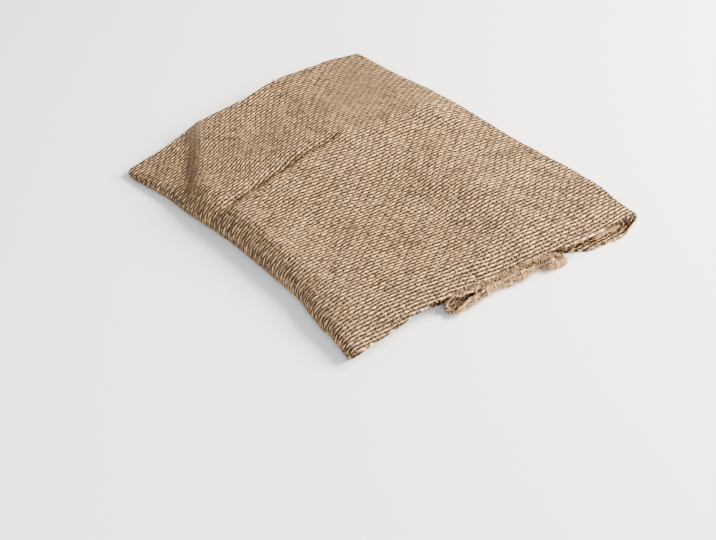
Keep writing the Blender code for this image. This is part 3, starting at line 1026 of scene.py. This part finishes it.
@dataclass
class FoldedSack:
    """The sack's cloth, folded in half and in thirds, as one thin sheet."""

    shape: PackShape = field(default_factory=PackShape)
    finish: WovenJute = field(default_factory=WovenJute)
    drift: YarnDrift = field(default_factory=YarnDrift)
    stations: tuple[Station, ...] = field(init=False)
    clean_columns: int = 180
    fold_columns: int = 8
    seam_columns: int = 24
    bend_rows: int = 12
    lip_share: float = 0.35           # how far the rounded edge stands out, as a share of the sheet
    climb: tuple[float, float] = (-82.0, -50.0)     # where the middle third climbs off the bottom one
    stains: tuple[Mound, ...] = (
        Mound("stain left of the middle", -47.0, -40.0, 7.0, 11.0, 0.50),
        Mound("stain near the front", -25.0, -64.0, 7.0, 9.0, 0.30),
        Mound("stain along the ridge", 55.0, 30.0, 11.0, 12.0, 0.30),
        Mound("stain at the seam", -8.0, -116.0, 22.0, 5.0, 0.30),
    )
    # Painted shade: dark lines along the folds and round the left corner's face, and broad darker patches;
    # depth is the amount.
    lines: tuple[Crease, ...] = (
        Crease("old fold", 14.0, 50.5, -84.0, 31.5, 0.85, 1.9),
        Crease("faint cross crease", 14.0, 50.0, 5.0, 86.0, 0.5, 1.8),
        Crease("left corner, far edge of its face", -45.7, 134.8, -74.5, 97.5, 0.32, 0.8),
        Crease("left corner, its foot", -70.0, 101.0, -98.0, 60.0, 0.35, 1.4),
        Crease("dust behind the old fold", -72.0, 86.0, 25.0, 94.0, 0.17, 30.0),
        Crease("dust on the back corner", 84.0, 95.0, 92.0, 130.0, 0.16, 32.0),
    )
    flats: tuple[Mound, ...] = (
        Mound("flat back corner", 88.0, 112.0, 26.0, 36.0, 0.68),
        Mound("flat right of the back", 62.0, 76.0, 24.0, 30.0, 0.45),
        Mound("flat middle of the back", 36.0, 102.0, 26.0, 28.0, 0.26),
        Mound("flat behind the old fold", -35.0, 92.0, 60.0, 42.0, 0.30),
        Mound("flat along the left bend", -110.0, 0.0, 24.0, 130.0, 0.45),
    )
    most_pressed: float = 0.9
    facet_pressed_shade: float = 0.46       # share by which the left corner's turned face is pressed, and painted in shade by the darker pressed tone
    # Painted shade on the left corner's turned face, which is turned from the lamp.
    facet_shaded: float = 0.20
    # Painted grey tint of the shaded face.
    facet_shade_grey: float = 0.11
    flat_width: float = 525.0
    flat_length: float = 575.0

    def __post_init__(self) -> None:
        """Set the stations, whose ends follow the pack's own run."""
        end = self.shape.run_end
        self.stations = (
            Station(Layer.BOTTOM, -44.0, 13.0, 12.5, 7.0, 9),
            Station(Layer.BOTTOM, 10.0, 12.0, 13.0, 9.0, 7),
            Station(Layer.BOTTOM, 54.0, 8.5, 11.0, 6.0, 6),
            Station(Layer.BOTTOM, 74.0, 1.0, 8.0, 6.0, 12),
            Station(Layer.BOTTOM, end, -1.5, 4.0, 4.0, self.bend_rows),
            Station(Layer.TOP, end, 0.0, 3.5, 0.0, 26),
            Station(Layer.TOP, 55.0, 2.0, 6.0, 0.0, 22),
            Station(Layer.TOP, 10.0, 5.5, 11.0, 0.0, 27),
            Station(Layer.TOP, -45.0, 6.5, 13.0, 0.0, 38),
            Station(Layer.TOP, -end, 0.5, 8.0, 0.5, self.bend_rows),
            Station(Layer.MIDDLE, -end, 7.0, 10.0, 9.0, 10),
            Station(Layer.MIDDLE, -76.0, 12.0, 13.0, 9.0, 8),
            Station(Layer.MIDDLE, -50.0, 13.0, 14.0, 7.0, 18),
            Station(Layer.MIDDLE, 84.0, 9.0, 12.0, 5.0, 0),
        )

    def layer_height(self, layer: Layer, x: float) -> float:
        """Return the height of a layer's middle in the neat pack."""
        bottom, middle, top = self.shape.heights
        if layer is Layer.BOTTOM:
            return bottom
        if layer is Layer.TOP:
            return top
        return bottom + (middle - bottom) * float(ease((x - self.climb[0]) / (self.climb[1] - self.climb[0])))

    def path(self) -> Array:
        """Follow the layers' middle along the sack.

        Returns:
            One row for each mesh row: x, z, clean, seam and back.
        """
        rows = []
        for here, after in zip(self.stations, self.stations[1:]):
            for step in range(here.rows):
                share = step / here.rows
                eased = float(ease(share))
                insets = [a + (b - a) * eased for a, b in
                          zip((here.clean, here.seam, here.back), (after.clean, after.seam, after.back))]
                if here.layer is after.layer:
                    x = here.x + (after.x - here.x) * share
                    z = self.layer_height(here.layer, x)
                else:
                    radius = math.copysign(self.shape.bend_radius, here.x)
                    x = here.x + radius * math.sin(math.pi * share)
                    z = self.layer_height(here.layer, here.x) + radius * (1 - math.cos(math.pi * share))
                rows.append((x, z, *insets))
        last = self.stations[-1]
        rows.append((last.x, self.layer_height(last.layer, last.x), last.clean, last.seam, last.back))
        return np.array(rows)

    def section(self, clean: float, seam: float, back: float) -> Array:
        """Follow the cloth across the sack, round its half fold.

        Args:
            clean, seam, back: how far it stops short of the front and back lines.

        Returns:
            One row for each column: y, height, normal y, normal height and length of cloth.
        """
        pair, half = self.shape.pair, self.shape.width / 2
        turn_y = half - back - pair - self.shape.sheet / 2
        rows = []
        for step in range(self.clean_columns):
            y = -half + clean + (turn_y + half - clean) * step / self.clean_columns
            rows.append((y, pair, 0.0, 1.0, y))
        for step in range(self.fold_columns):
            turn = math.pi * step / self.fold_columns
            across, up = math.sin(turn), math.cos(turn)
            rows.append((turn_y + pair * across, pair * up, across, up, turn_y + pair * turn))
        for step in range(self.seam_columns + 1):
            y = turn_y + (-half + seam - turn_y) * step / self.seam_columns
            rows.append((y, -pair, 0.0, -1.0, turn_y + math.pi * pair + turn_y - y))
        return np.array(rows)

    def skins(self) -> tuple[Array, Array, Array]:
        """Work out both faces of the cloth.

        Returns:
            The outer and inner faces, rows by columns, and for each place its x and y in the neat
            pack and how far it lies along the cloth both ways.
        """
        path = self.path()
        ahead = np.gradient(path[:, :2], axis=0)
        ahead /= np.linalg.norm(ahead, axis=1, keepdims=True)
        steps = np.linalg.norm(np.diff(path[:, :2], axis=0), axis=1)
        along = np.concatenate([[0.0], np.cumsum(steps)])
        sections = np.array([self.section(*row[2:]) for row in path])
        y, rise, across, up, cloth_y = np.moveaxis(sections, -1, 0)
        faces = []
        for side in (self.shape.sheet / 2, -self.shape.sheet / 2):
            offset = rise + side * up
            x = path[:, 0:1] + ahead[:, 1:2] * offset
            z = path[:, 1:2] - ahead[:, 0:1] * offset
            faces.append(self.shape.settle(x, y + side * across, z))
        neat = np.stack([path[:, 0:1] + 0 * y, y, along[:, None] + 0 * y, cloth_y], axis=-1)
        return faces[0], faces[1], neat

    def build(self) -> bpy.types.Object:
        """Make the cloth as one closed thin sheet with rounded edges.

        Returns:
            The cloth's object.
        """
        outer, inner, neat = self.skins()
        rows, columns = outer.shape[:2]
        count = rows * columns
        faces, rim = thin_sheet(rows, columns)
        number = np.arange(count).reshape(rows, columns)
        inside = np.concatenate([number[1, :-1], number[:-1, -2], number[-2, :0:-1], number[:0:-1, 1]])
        flat = [outer.reshape(-1, 3), inner.reshape(-1, 3)]
        middle = (flat[0] + flat[1]) / 2
        lip = middle[rim] + unit(middle[rim] - middle[inside]) * self.shape.sheet * self.lip_share
        lip_number = 2 * count + np.arange(len(rim))
        round_rim = zip(rim, np.roll(rim, -1), lip_number, np.roll(lip_number, -1))
        for here, after, lip_here, lip_after in round_rim:
            faces.append((after, here, lip_here, lip_after))
            faces.append((lip_after, lip_here, here + count, after + count))
        points = np.concatenate([*flat, lip])
        neat = neat.reshape(-1, 4)
        corners = np.concatenate([neat, neat, neat[rim]])[np.array(faces)]
        corner_y = corners[..., 1]
        drift = self.drift.value(corners[..., 0], corner_y, corner_y.mean(axis=1, keepdims=True))
        coordinates = ((corners[..., 2:] + drift) * MM).reshape(-1, 2)
        piece = make_piece("jute_cloth", (points - ORIGIN_IN_PACK) * MM, faces, self.finish.material(),
                           coordinates, self._shares(points[:, 0], points[:, 1], outer.shape[:2], rim))
        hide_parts("sack_cloth")
        return piece

    def _shares(self, x: Array, y: Array, size: tuple[int, int], rim: Array) -> dict[Share, Array]:
        """Work out what the finish reads at each vertex.

        Args:
            x, y: the vertices' places, seen from above.
            size: rows and columns of each face of the cloth.
            rim: vertices round the outer face's rim, which the lip follows.

        Returns:
            The amounts of each share.
        """
        facet = self.shape.turned_corner.face(x, y)
        pressed = sum(form.value(x, y) for form in self.flats) + self.facet_pressed_shade * facet
        # Painted shade: the left corner's turned face, the fold lines and the broad patches.
        creased = [self.facet_shaded * facet, *(line.value(x, y) for line in self.lines)]
        ahead = np.gradient(self.path()[:, :2], axis=0)
        steep = np.abs(ahead[:, 1]) / np.linalg.norm(ahead, axis=1)
        bends = np.broadcast_to(steep[:, None], size).ravel()
        return {Share.STAINED: sum(mound.value(x, y) for mound in self.stains),
                Share.ROUNDED: np.concatenate([bends, bends, bends[rim]]),
                Share.PAINTED_SHADE: np.maximum.reduce(creased),
                Share.SHADE_GREY: self.facet_shade_grey * facet,
                Share.PRESSED: np.minimum(pressed, self.most_pressed)}

    def first_row(self, station: int) -> int:
        """Return the number of the mesh row at a station."""
        return sum(before.rows for before in self.stations[:station])

    def top_face(self) -> Array:
        """Return the cloth's outer face from the right bend over the top to the left bend, as a grid."""
        outer, _inner, _neat = self.skins()
        layers = [station.layer for station in self.stations]
        first, last = self.first_row(layers.index(Layer.TOP) - 1), self.first_row(layers.index(Layer.MIDDLE))
        return outer[first:last + 1, :self.clean_columns]

    def edge(self, sewn: bool) -> Array:
        """Return the middle of the cloth's front edge on its sewn or its closed side, along all layers."""
        outer, inner, _neat = self.skins()
        column = -1 if sewn else 0
        return (outer[:, column] + inner[:, column]) / 2

    def layer_rows(self, layer: Layer) -> Array:
        """Return the numbers of the mesh rows in one layer, its bends left out."""
        numbers = []
        for place, (here, after) in enumerate(zip(self.stations, self.stations[1:])):
            if here.layer is layer and after.layer is layer:
                numbers += range(self.first_row(place), self.first_row(place + 1))
        return np.array(numbers)


# ---- the sewn side -------------------------------------------------------------------------------
@dataclass(frozen=True)
class RollRow:
    """A place along the sewn side: the roll's middle and size, and how far its curl is open.

    wall is the angle where the turned edge ends, and flap where the cloth above it does. Both are in
    degrees round the roll, from the back over the top.
    """

    x: float
    y: float
    rise: float
    depth: float
    wall: float
    flap: float


@dataclass(frozen=True)
class Tuft:
    """Yarn ends that hang out of the roll in a bunch, near its right end."""

    yarns: int = 46
    x: float = 34.0
    width: float = 10.0
    root: tuple[float, float] = (0.08, 0.3)       # share of the way round the roll
    out: float = 0.2
    reach: tuple[float, float] = (2.2, 3.8)       # how far a yarn comes forwards
    hook: float = 2.2                             # radians, how far it turns back towards the roll
    rise: float = 2.2
    drop: tuple[float, float] = (2.5, 4.5)
    lean: float = 5.0                             # how far the bunch spreads sideways
    lean_middle: float = 0.3
    lean_spread: float = 0.5
    waver: float = 0.12
    lowest: float = 0.75                          # least height of a yarn's middle over the floor
    radii: tuple[float, float] = (0.55, 0.34)
    thickness: tuple[float, float] = (0.8, 1.2)
    points: int = 12


@dataclass
class SideSeam:
    """The sewn side: raw edges turned into a lumpy roll, oversewn with twine, and frayed at its end."""

    rows: tuple[RollRow, ...] = (
        RollRow(-44.5, -126.4, 6.6, 8.6, 176.0, 60.0),
        RollRow(-38.0, -126.0, 9.4, 11.0, 160.0, 78.0),
        RollRow(-29.0, -125.6, 8.6, 10.4, 140.0, 108.0),
        RollRow(-14.0, -125.4, 8.2, 9.6, 122.0, 140.0),
        RollRow(-4.0, -125.2, 6.6, 7.4, 118.0, 150.0),
        RollRow(6.0, -126.6, 7.8, 8.6, 116.0, 156.0),
        RollRow(20.0, -127.2, 7.0, 7.6, 124.0, 150.0),
        RollRow(27.0, -126.2, 3.4, 4.0, 130.0, 146.0),
        RollRow(35.0, -128.8, 7.6, 7.8, 134.0, 140.0),
        RollRow(42.0, -130.2, 6.8, 7.2, 140.0, 120.0),
        RollRow(48.0, -131.2, 4.0, 4.2, 150.0, 110.0),
    )
    sheet: float = 1.2
    skin: float = 0.5                 # how far the sheet's middle lies inside the roll's outline
    tuck: float = 0.62                # how near the middle the inner end lies, as a share of the radius
    tuck_from: float = 440.0          # degrees round the roll where the tuck starts
    tuck_over: float = 50.0
    above_floor: float = 0.4
    steps: int = 150
    around: int = 44
    lump: Ripples = Ripples(seed=31, height=0.9, shortest=5.0, longest=16.0)
    lump_round: float = 4.0           # mm of unevenness for each radian round the roll
    nip: float = 0.10                 # how much each stitch draws the roll in
    nip_power: float = 3.0
    stitch_pitch: float = 10.5
    stitch_uneven: float = 0.12       # share by which pitch and thickness vary
    stitch_slant: float = 3.4
    stitch_turn: tuple[float, float] = (0.02, 0.72)           # share of the way round that it shows
    stitch_middle: float = 0.4
    stitch_stray: float = 0.3
    stitch_ends: tuple[float, float] = (2.0, 4.0)             # clear of the first and last lumps
    stitch_points: int = 26
    twine: float = 0.5                # mm, its radius
    twine_sunk: float = 0.55          # radii from the cloth to the twine's middle
    tuft: Tuft = Tuft()
    fuzz: Fuzz = Fuzz(520, ((0.0, 1.2), (-0.6, 0.4), (0.2, 0.5)), (2.0, 5.0), -1.2, (0.15, 0.06))
    fuzz_ends: tuple[float, float] = (1.0, 2.0)
    fuzz_root: tuple[float, float] = (0.0, 0.35)
    fuzz_out: float = 0.5
    finish: WovenJute = field(default_factory=lambda: WovenJute(
        name="jute_sacking_turned_edge", light="#CDA473", flank="#A88560", middle="#7C654E", hole_shade="#453425"))
    thread: SpunJute = field(default_factory=SpunJute)

    def ring(self, x: float, share: Array, out: float = 0.0) -> Array:
        """Follow the rolled cloth round its middle at one place.

        Args:
            x: place along the side.
            share: from 0 at the turned edge to 1 at the end tucked inside.
            out: extra distance from the roll's middle.

        Returns:
            One row of x, y and z for each share.
        """
        table = [astuple(row) for row in self.rows]
        y, rise, depth, wall, flap = (float(read_rows(table, column, x)) for column in range(1, 6))
        beat = 0.5 + 0.5 * math.cos(2 * math.pi * (x - self.rows[0].x) / self.stitch_pitch)
        angle = np.radians(wall + (360.0 + flap - wall) * share)
        tucked = 1 - (1 - self.tuck) * ease((np.degrees(angle) - self.tuck_from) / self.tuck_over)
        size = (1 - self.nip * beat ** self.nip_power) * tucked
        out = out + self.lump.value(x + 0 * angle, self.lump_round * angle)
        radius_y, radius_z = ((width / 2 - self.skin) * size + out for width in (depth, rise))
        lowest = self.above_floor + self.sheet / 2
        height = np.maximum(lowest + rise / 2 + radius_z * np.sin(angle), lowest)
        return np.stack([x + 0 * angle, y + radius_y * np.cos(angle), height], axis=-1)

    def build(self) -> list[bpy.types.Object]:
        """Make the roll, its stitches and its frayed ends.

        Returns:
            The three objects.
        """
        pieces = [self._roll(), self._stitches(), self._fray()]
        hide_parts("side_seam")
        return pieces

    def _roll(self) -> bpy.types.Object:
        """Make the rolled cloth as a closed thin sheet."""
        share = np.linspace(0.0, 1.0, self.around)
        places = np.linspace(self.rows[0].x, self.rows[-1].x, self.steps)
        middle = np.array([self.ring(x, share) for x in places])
        normal = unit(np.cross(np.gradient(middle, axis=0), np.gradient(middle, axis=1)))
        skins = [middle + normal * self.sheet / 2, middle - normal * self.sheet / 2]
        count = self.steps * self.around
        faces, rim = thin_sheet(self.steps, self.around)
        for here, after in zip(rim, np.roll(rim, -1)):
            faces.append((after, here, here + count, after + count))
        points = (np.concatenate([skin.reshape(-1, 3) for skin in skins]) - ORIGIN_IN_PACK) * MM
        steps = np.linalg.norm(np.diff(middle, axis=1), axis=2)
        round_roll = np.concatenate([np.zeros((self.steps, 1)), np.cumsum(steps, axis=1)], axis=1)
        cloth = np.stack([middle[:, :, 0], round_roll], axis=-1).reshape(-1, 2)
        cloth = np.concatenate([cloth, cloth])[np.array(faces)].reshape(-1, 2) * MM
        return make_piece("jute_seam_roll", points, faces, self.finish.material(), cloth)

    def _stitches(self) -> bpy.types.Object:
        """Make the slanting twine stitches over the roll."""
        strands = Strands(sides=6)
        draw = np.random.default_rng(seed=5)
        turns = np.linspace(*self.stitch_turn, self.stitch_points)
        out = self.sheet / 2 + self.twine * self.twine_sunk
        place = self.rows[1].x + self.stitch_ends[0]
        while place < self.rows[-1].x - self.stitch_ends[1]:
            slant = self.stitch_slant * (turns - self.stitch_middle) + draw.normal(0.0, self.stitch_stray)
            path = np.array([self.ring(place + shove, np.array([turn]), out)[0]
                             for turn, shove in zip(turns, slant)])
            strands.add(path, self.twine * (1 + self.stitch_uneven * draw.standard_normal(len(turns))))
            place += self.stitch_pitch * (1 + self.stitch_uneven * draw.standard_normal())
        return strands.piece("jute_seam_stitches", self.thread.material())

    def _fray(self) -> bpy.types.Object:
        """Make the tuft of yarn ends and the fuzz along the roll."""
        strands = Strands(sides=5)
        draw = np.random.default_rng(seed=12)
        tuft = self.tuft
        turns = np.linspace(0.0, 1.0, tuft.points)
        for _ in range(tuft.yarns):
            share = draw.uniform(0.0, 1.0)
            start = self.ring(tuft.x + tuft.width * share, np.array([draw.uniform(*tuft.root)]), tuft.out)[0]
            reach, drop = draw.uniform(*tuft.reach), draw.uniform(*tuft.drop)
            lean = tuft.lean * (share - tuft.lean_middle) + draw.normal(0.0, tuft.lean_spread)
            path = start + np.stack([lean * turns ** 1.5, -reach * np.sin(tuft.hook * turns),
                                     tuft.rise * np.sin(math.pi * turns) - drop * turns ** 2], axis=-1)
            path = path + draw.normal(0.0, tuft.waver, path.shape)
            path[:, 2] = np.maximum(path[:, 2], tuft.lowest)
            strands.add(path, np.linspace(*tuft.radii, tuft.points) * draw.uniform(*tuft.thickness))
        for _ in range(self.fuzz.count):
            x = draw.uniform(self.rows[0].x + self.fuzz_ends[0], self.rows[-1].x - self.fuzz_ends[1])
            start = self.ring(x, np.array([draw.uniform(*self.fuzz_root)]), self.fuzz_out)[0]
            self.fuzz.grow(draw, strands, start)
        return strands.piece("jute_seam_fray", self.thread.material())


# ---- loose fibres --------------------------------------------------------------------------------
@dataclass(frozen=True)
class Ladder:
    """Bare yarns of the middle third's frayed end, at the right tip: long ones and a few across."""

    long_yarns: int = 9
    x: float = 78.0
    x_end: tuple[float, float] = (95.0, 106.0)
    y: float = -129.0
    pitch: float = 1.9
    rungs: tuple[float, ...] = (86.5, 90.5, 95.0)
    rung_run: tuple[float, float] = (-130.0, -116.0)
    stray: float = 0.25               # how far each point of a long yarn moves sideways, and up or down
    stray_up: float = 0.16
    rung_stray: float = 0.3
    radius: float = 0.40
    rung_radius: float = 0.42
    points: int = 10

    def add(self, draw: np.random.Generator, strands: Strands, shape: PackShape) -> None:
        """Add the yarns of both plies.

        Args:
            draw: source of their random wander.
            strands: the mesh that gets them.
            shape: the pack that they lie in.
        """
        for ply in (-1, 1):
            level = shape.heights[1] + ply * shape.pair
            for step in range(self.long_yarns):
                x = np.linspace(self.x, draw.uniform(*self.x_end), self.points)
                y = self.y + self.pitch * step + np.cumsum(draw.normal(0.0, self.stray, self.points))
                z = level + np.cumsum(draw.normal(0.0, self.stray_up, self.points))
                strands.add(shape.settle(x, y, z), self.radius)
            for place in self.rungs:
                x = place + np.cumsum(draw.normal(0.0, self.rung_stray, self.points))
                y = np.linspace(*self.rung_run, self.points)
                strands.add(shape.settle(x, y, level + 0 * y), self.rung_radius)


@dataclass
class LooseFibres:
    """Jute fibres that have worked loose: fine hairs all over the cloth, and short ends at its edge."""

    hair: Fuzz = Fuzz(1300, (), (3.0, 11.0), -0.25, (1.0, 0.5))     # radii here are shares of the next line's
    hair_radius: tuple[float, float] = (0.045, 0.10)
    hair_lift: tuple[float, float] = (0.05, 0.55)             # how steeply it leaves the cloth
    hair_root: float = 0.2                                    # mm under the surface
    edge: Fuzz = Fuzz(260, ((0.1, 0.5), (-1.0, 0.0), (0.0, 0.35)), (1.5, 5.0), -0.4, (0.26, 0.1))
    edge_stray: float = 0.4
    thread: Fuzz = Fuzz(1, (), (5.0, 5.0), -0.2, (0.34, 0.2), points=7)
    thread_place: float = 36.0
    thread_heading: tuple[float, float, float] = (-0.25, 0.8, 0.75)
    hem: Fuzz = Fuzz(240, ((0.0, 0.8), (-0.5, 0.0), (-0.6, 0.4)), (2.0, 5.0), -1.0, (0.30, 0.1))
    hem_run: tuple[float, float] = (-34.0, 36.0)
    hem_stray: float = 0.5
    cut_end: Fuzz = Fuzz(170, ((0.8, 0.4), (-0.7, 0.0), (0.2, 0.4)), (1.2, 3.0), -0.3, (0.38, 0.2), points=7)
    cut_from: float = 50.0
    cut_stray: float = 0.3
    cut_inset: float = 0.8
    ladder: Ladder = Ladder()
    finish: SpunJute = field(default_factory=lambda: SpunJute(
        name="jute_fibre_loose", light="#A9875F", dark="#6C4F34"))
    cut_finish: SpunJute = field(default_factory=lambda: SpunJute(
        name="jute_yarn_cut", light="#C9A273", dark="#80603F"))

    def build(self, sack: FoldedSack) -> bpy.types.Object:
        """Make the fibres.

        Args:
            sack: the cloth that they come from.

        Returns:
            The fibres' object.
        """
        strands = Strands(sides=3)
        draw = np.random.default_rng(seed=77)
        face = sack.top_face()
        self._hairs(draw, strands, face)
        edge = sack.edge(sewn=True)
        for _ in range(self.edge.count):
            start = edge[draw.integers(1, len(edge) - 1)] + draw.normal(0.0, self.edge_stray, 3)
            self.edge.grow(draw, strands, start)
        # One thread end stands up past the half fold at the back.
        back = face[:, -1]
        start = back[np.argmin(np.abs(back[:, 0] - self.thread_place))]
        path = self.thread.curl(draw, start, np.array(self.thread_heading))
        strands.add(path, np.linspace(*self.thread.radii, self.thread.points))
        # Above the seam the top ply's edge is fuzzed out and hangs over the roll.
        hem = sack.edge(sewn=False)[sack.layer_rows(Layer.TOP)]
        hem = hem[(hem[:, 0] > self.hem_run[0]) & (hem[:, 0] < self.hem_run[1])]
        for _ in range(self.hem.count):
            self.hem.grow(draw, strands, hem[draw.integers(len(hem))] + draw.normal(0.0, self.hem_stray, 3))
        piece = strands.piece("jute_loose_fibres", self.finish.material())
        return piece

    def _hairs(self, draw: np.random.Generator, strands: Strands, face: Array) -> None:
        """Add the fine hairs that lie close over the cloth's top face, which is a grid."""
        across, along = np.gradient(face, axis=1), np.gradient(face, axis=0)
        normal = unit(np.cross(along, across))
        normal *= np.sign(normal[face.shape[0] // 2, face.shape[1] // 3, 2])
        for _ in range(self.hair.count):
            row, column = draw.integers(1, face.shape[0] - 1), draw.integers(1, face.shape[1] - 1)
            up = normal[row, column]
            turn = draw.uniform(0.0, 2 * math.pi)
            ahead = along[row, column] / np.linalg.norm(along[row, column])
            flat = ahead * math.cos(turn) + np.cross(up, ahead) * math.sin(turn)
            heading = flat + up * draw.uniform(*self.hair_lift)
            path = self.hair.curl(draw, face[row, column] - self.hair_root * up, heading)
            radius = draw.uniform(*self.hair_radius)
            strands.add(path, radius * np.linspace(*self.hair.radii, self.hair.points))

    def fringe(self, sack: FoldedSack) -> bpy.types.Object:
        """Make the cut yarn ends that fill the opening between the plies at the right tip.

        Args:
            sack: the cloth that the yarns end in.

        Returns:
            The fringe's object.
        """
        strands = Strands(sides=5)
        draw = np.random.default_rng(seed=41)
        rows = sack.layer_rows(Layer.BOTTOM)
        edge = np.concatenate([sack.edge(sewn=True)[rows], sack.edge(sewn=False)[rows]])
        edge = edge[edge[:, 0] > self.cut_from]
        inset = np.array([0.0, self.cut_inset, 0.0])
        for _ in range(self.cut_end.count):
            start = edge[draw.integers(len(edge))] + draw.normal(0.0, self.cut_stray, 3) + inset
            self.cut_end.grow(draw, strands, start)
        self.ladder.add(draw, strands, sack.shape)
        piece = strands.piece("jute_cut_ends", self.cut_finish.material())
        return piece


# ---- studio --------------------------------------------------------------------------------------
@dataclass(frozen=True)
class SoftBox:
    """A square studio lamp behind a white cloth, aimed at the sack. Place and size are in metres."""

    name: str
    place: tuple[float, float, float]
    size: float
    power: float
    colour: str

    def hang(self) -> None:
        """Make the lamp at its place."""
        lamp = bpy.data.lights.new(self.name, "AREA")
        lamp.shape = "SQUARE"
        lamp.size = self.size
        lamp.energy = self.power
        lamp.color = linear(self.colour)[:3]
        holder = bpy.data.objects.new(self.name, lamp)
        holder.location = self.place
        holder.rotation_euler = (-Vector(self.place)).to_track_quat("-Z", "Y").to_euler()
        bpy.context.scene.collection.objects.link(holder)


@dataclass
class Studio:
    """Pale paper floor, soft light and the camera at the photograph's angle."""

    paper: MattPaper = field(default_factory=MattPaper)
    floor_size: float = 6.0           # m
    lens: float = 75.42               # mm on a 36 mm wide frame
    sensor: float = 36.0
    camera_place: tuple[float, float, float] = (-0.5331, -0.6269, 0.5401)   # m, in the pack's own frame
    camera_down: float = 36.0         # degrees
    camera_turn: float = -40.0        # degrees
    sky: float = 0.95
    sky_colour: str = "#F7FBFF"
    lamps: tuple[SoftBox, ...] = (
        SoftBox("key_soft_box", (0.85, -0.5, 0.62), 0.8, 98.0, "#FFFAF2"),
        SoftBox("fill_soft_box", (-0.62, -0.85, 0.36), 0.7, 12.0, "#E4EDFF"),
    )

    def build(self) -> None:
        """Make the floor, the lights and the camera."""
        self._floor()
        self._light()
        self._camera()
        LOG.info("studio: floor, sky, %d lamps and camera", len(self.lamps))

    def _floor(self) -> None:
        """Lay the paper."""
        half = self.floor_size / 2
        data = bpy.data.meshes.new("paper_floor")
        corners = [(-half, -half, 0), (half, -half, 0), (half, half, 0), (-half, half, 0)]
        data.from_pydata(corners, [], [(0, 1, 2, 3)])
        data.materials.append(self.paper.material())
        floor = bpy.data.objects.new("paper_floor", data)
        bpy.context.scene.collection.objects.link(floor)

    def _light(self) -> None:
        """Hang a strong soft lamp on the right and a weak one on the left, under an even white sky."""
        world = bpy.data.worlds.new("studio_sky")
        world.use_nodes = True
        back = world.node_tree.nodes["Background"]
        back.inputs["Color"].default_value = linear(self.sky_colour)
        back.inputs["Strength"].default_value = self.sky
        bpy.context.scene.world = world
        for lamp in self.lamps:
            lamp.hang()

    def _camera(self) -> None:
        """Set the camera where the photograph was taken from."""
        data = bpy.data.cameras.new("camera")
        data.sensor_width = self.sensor
        data.lens = self.lens
        camera = bpy.data.objects.new("camera", data)
        camera.location = Vector(self.camera_place) - Vector(ORIGIN_IN_PACK) * MM
        camera.rotation_euler = (math.radians(90 - self.camera_down), 0.0, math.radians(self.camera_turn))
        bpy.context.scene.collection.objects.link(camera)
        bpy.context.scene.camera = camera


def main() -> None:
    """Build the sack, its seam and its loose fibres, then the studio."""
    logging.basicConfig(level=logging.INFO, format="%(name)s: %(message)s")
    sack = FoldedSack()
    cloth = sack.build()
    seam = SideSeam().build()
    loose = LooseFibres()
    fibres = [loose.build(sack), loose.fringe(sack)]
    Studio().build()


if __name__ == "__main__":
    main()
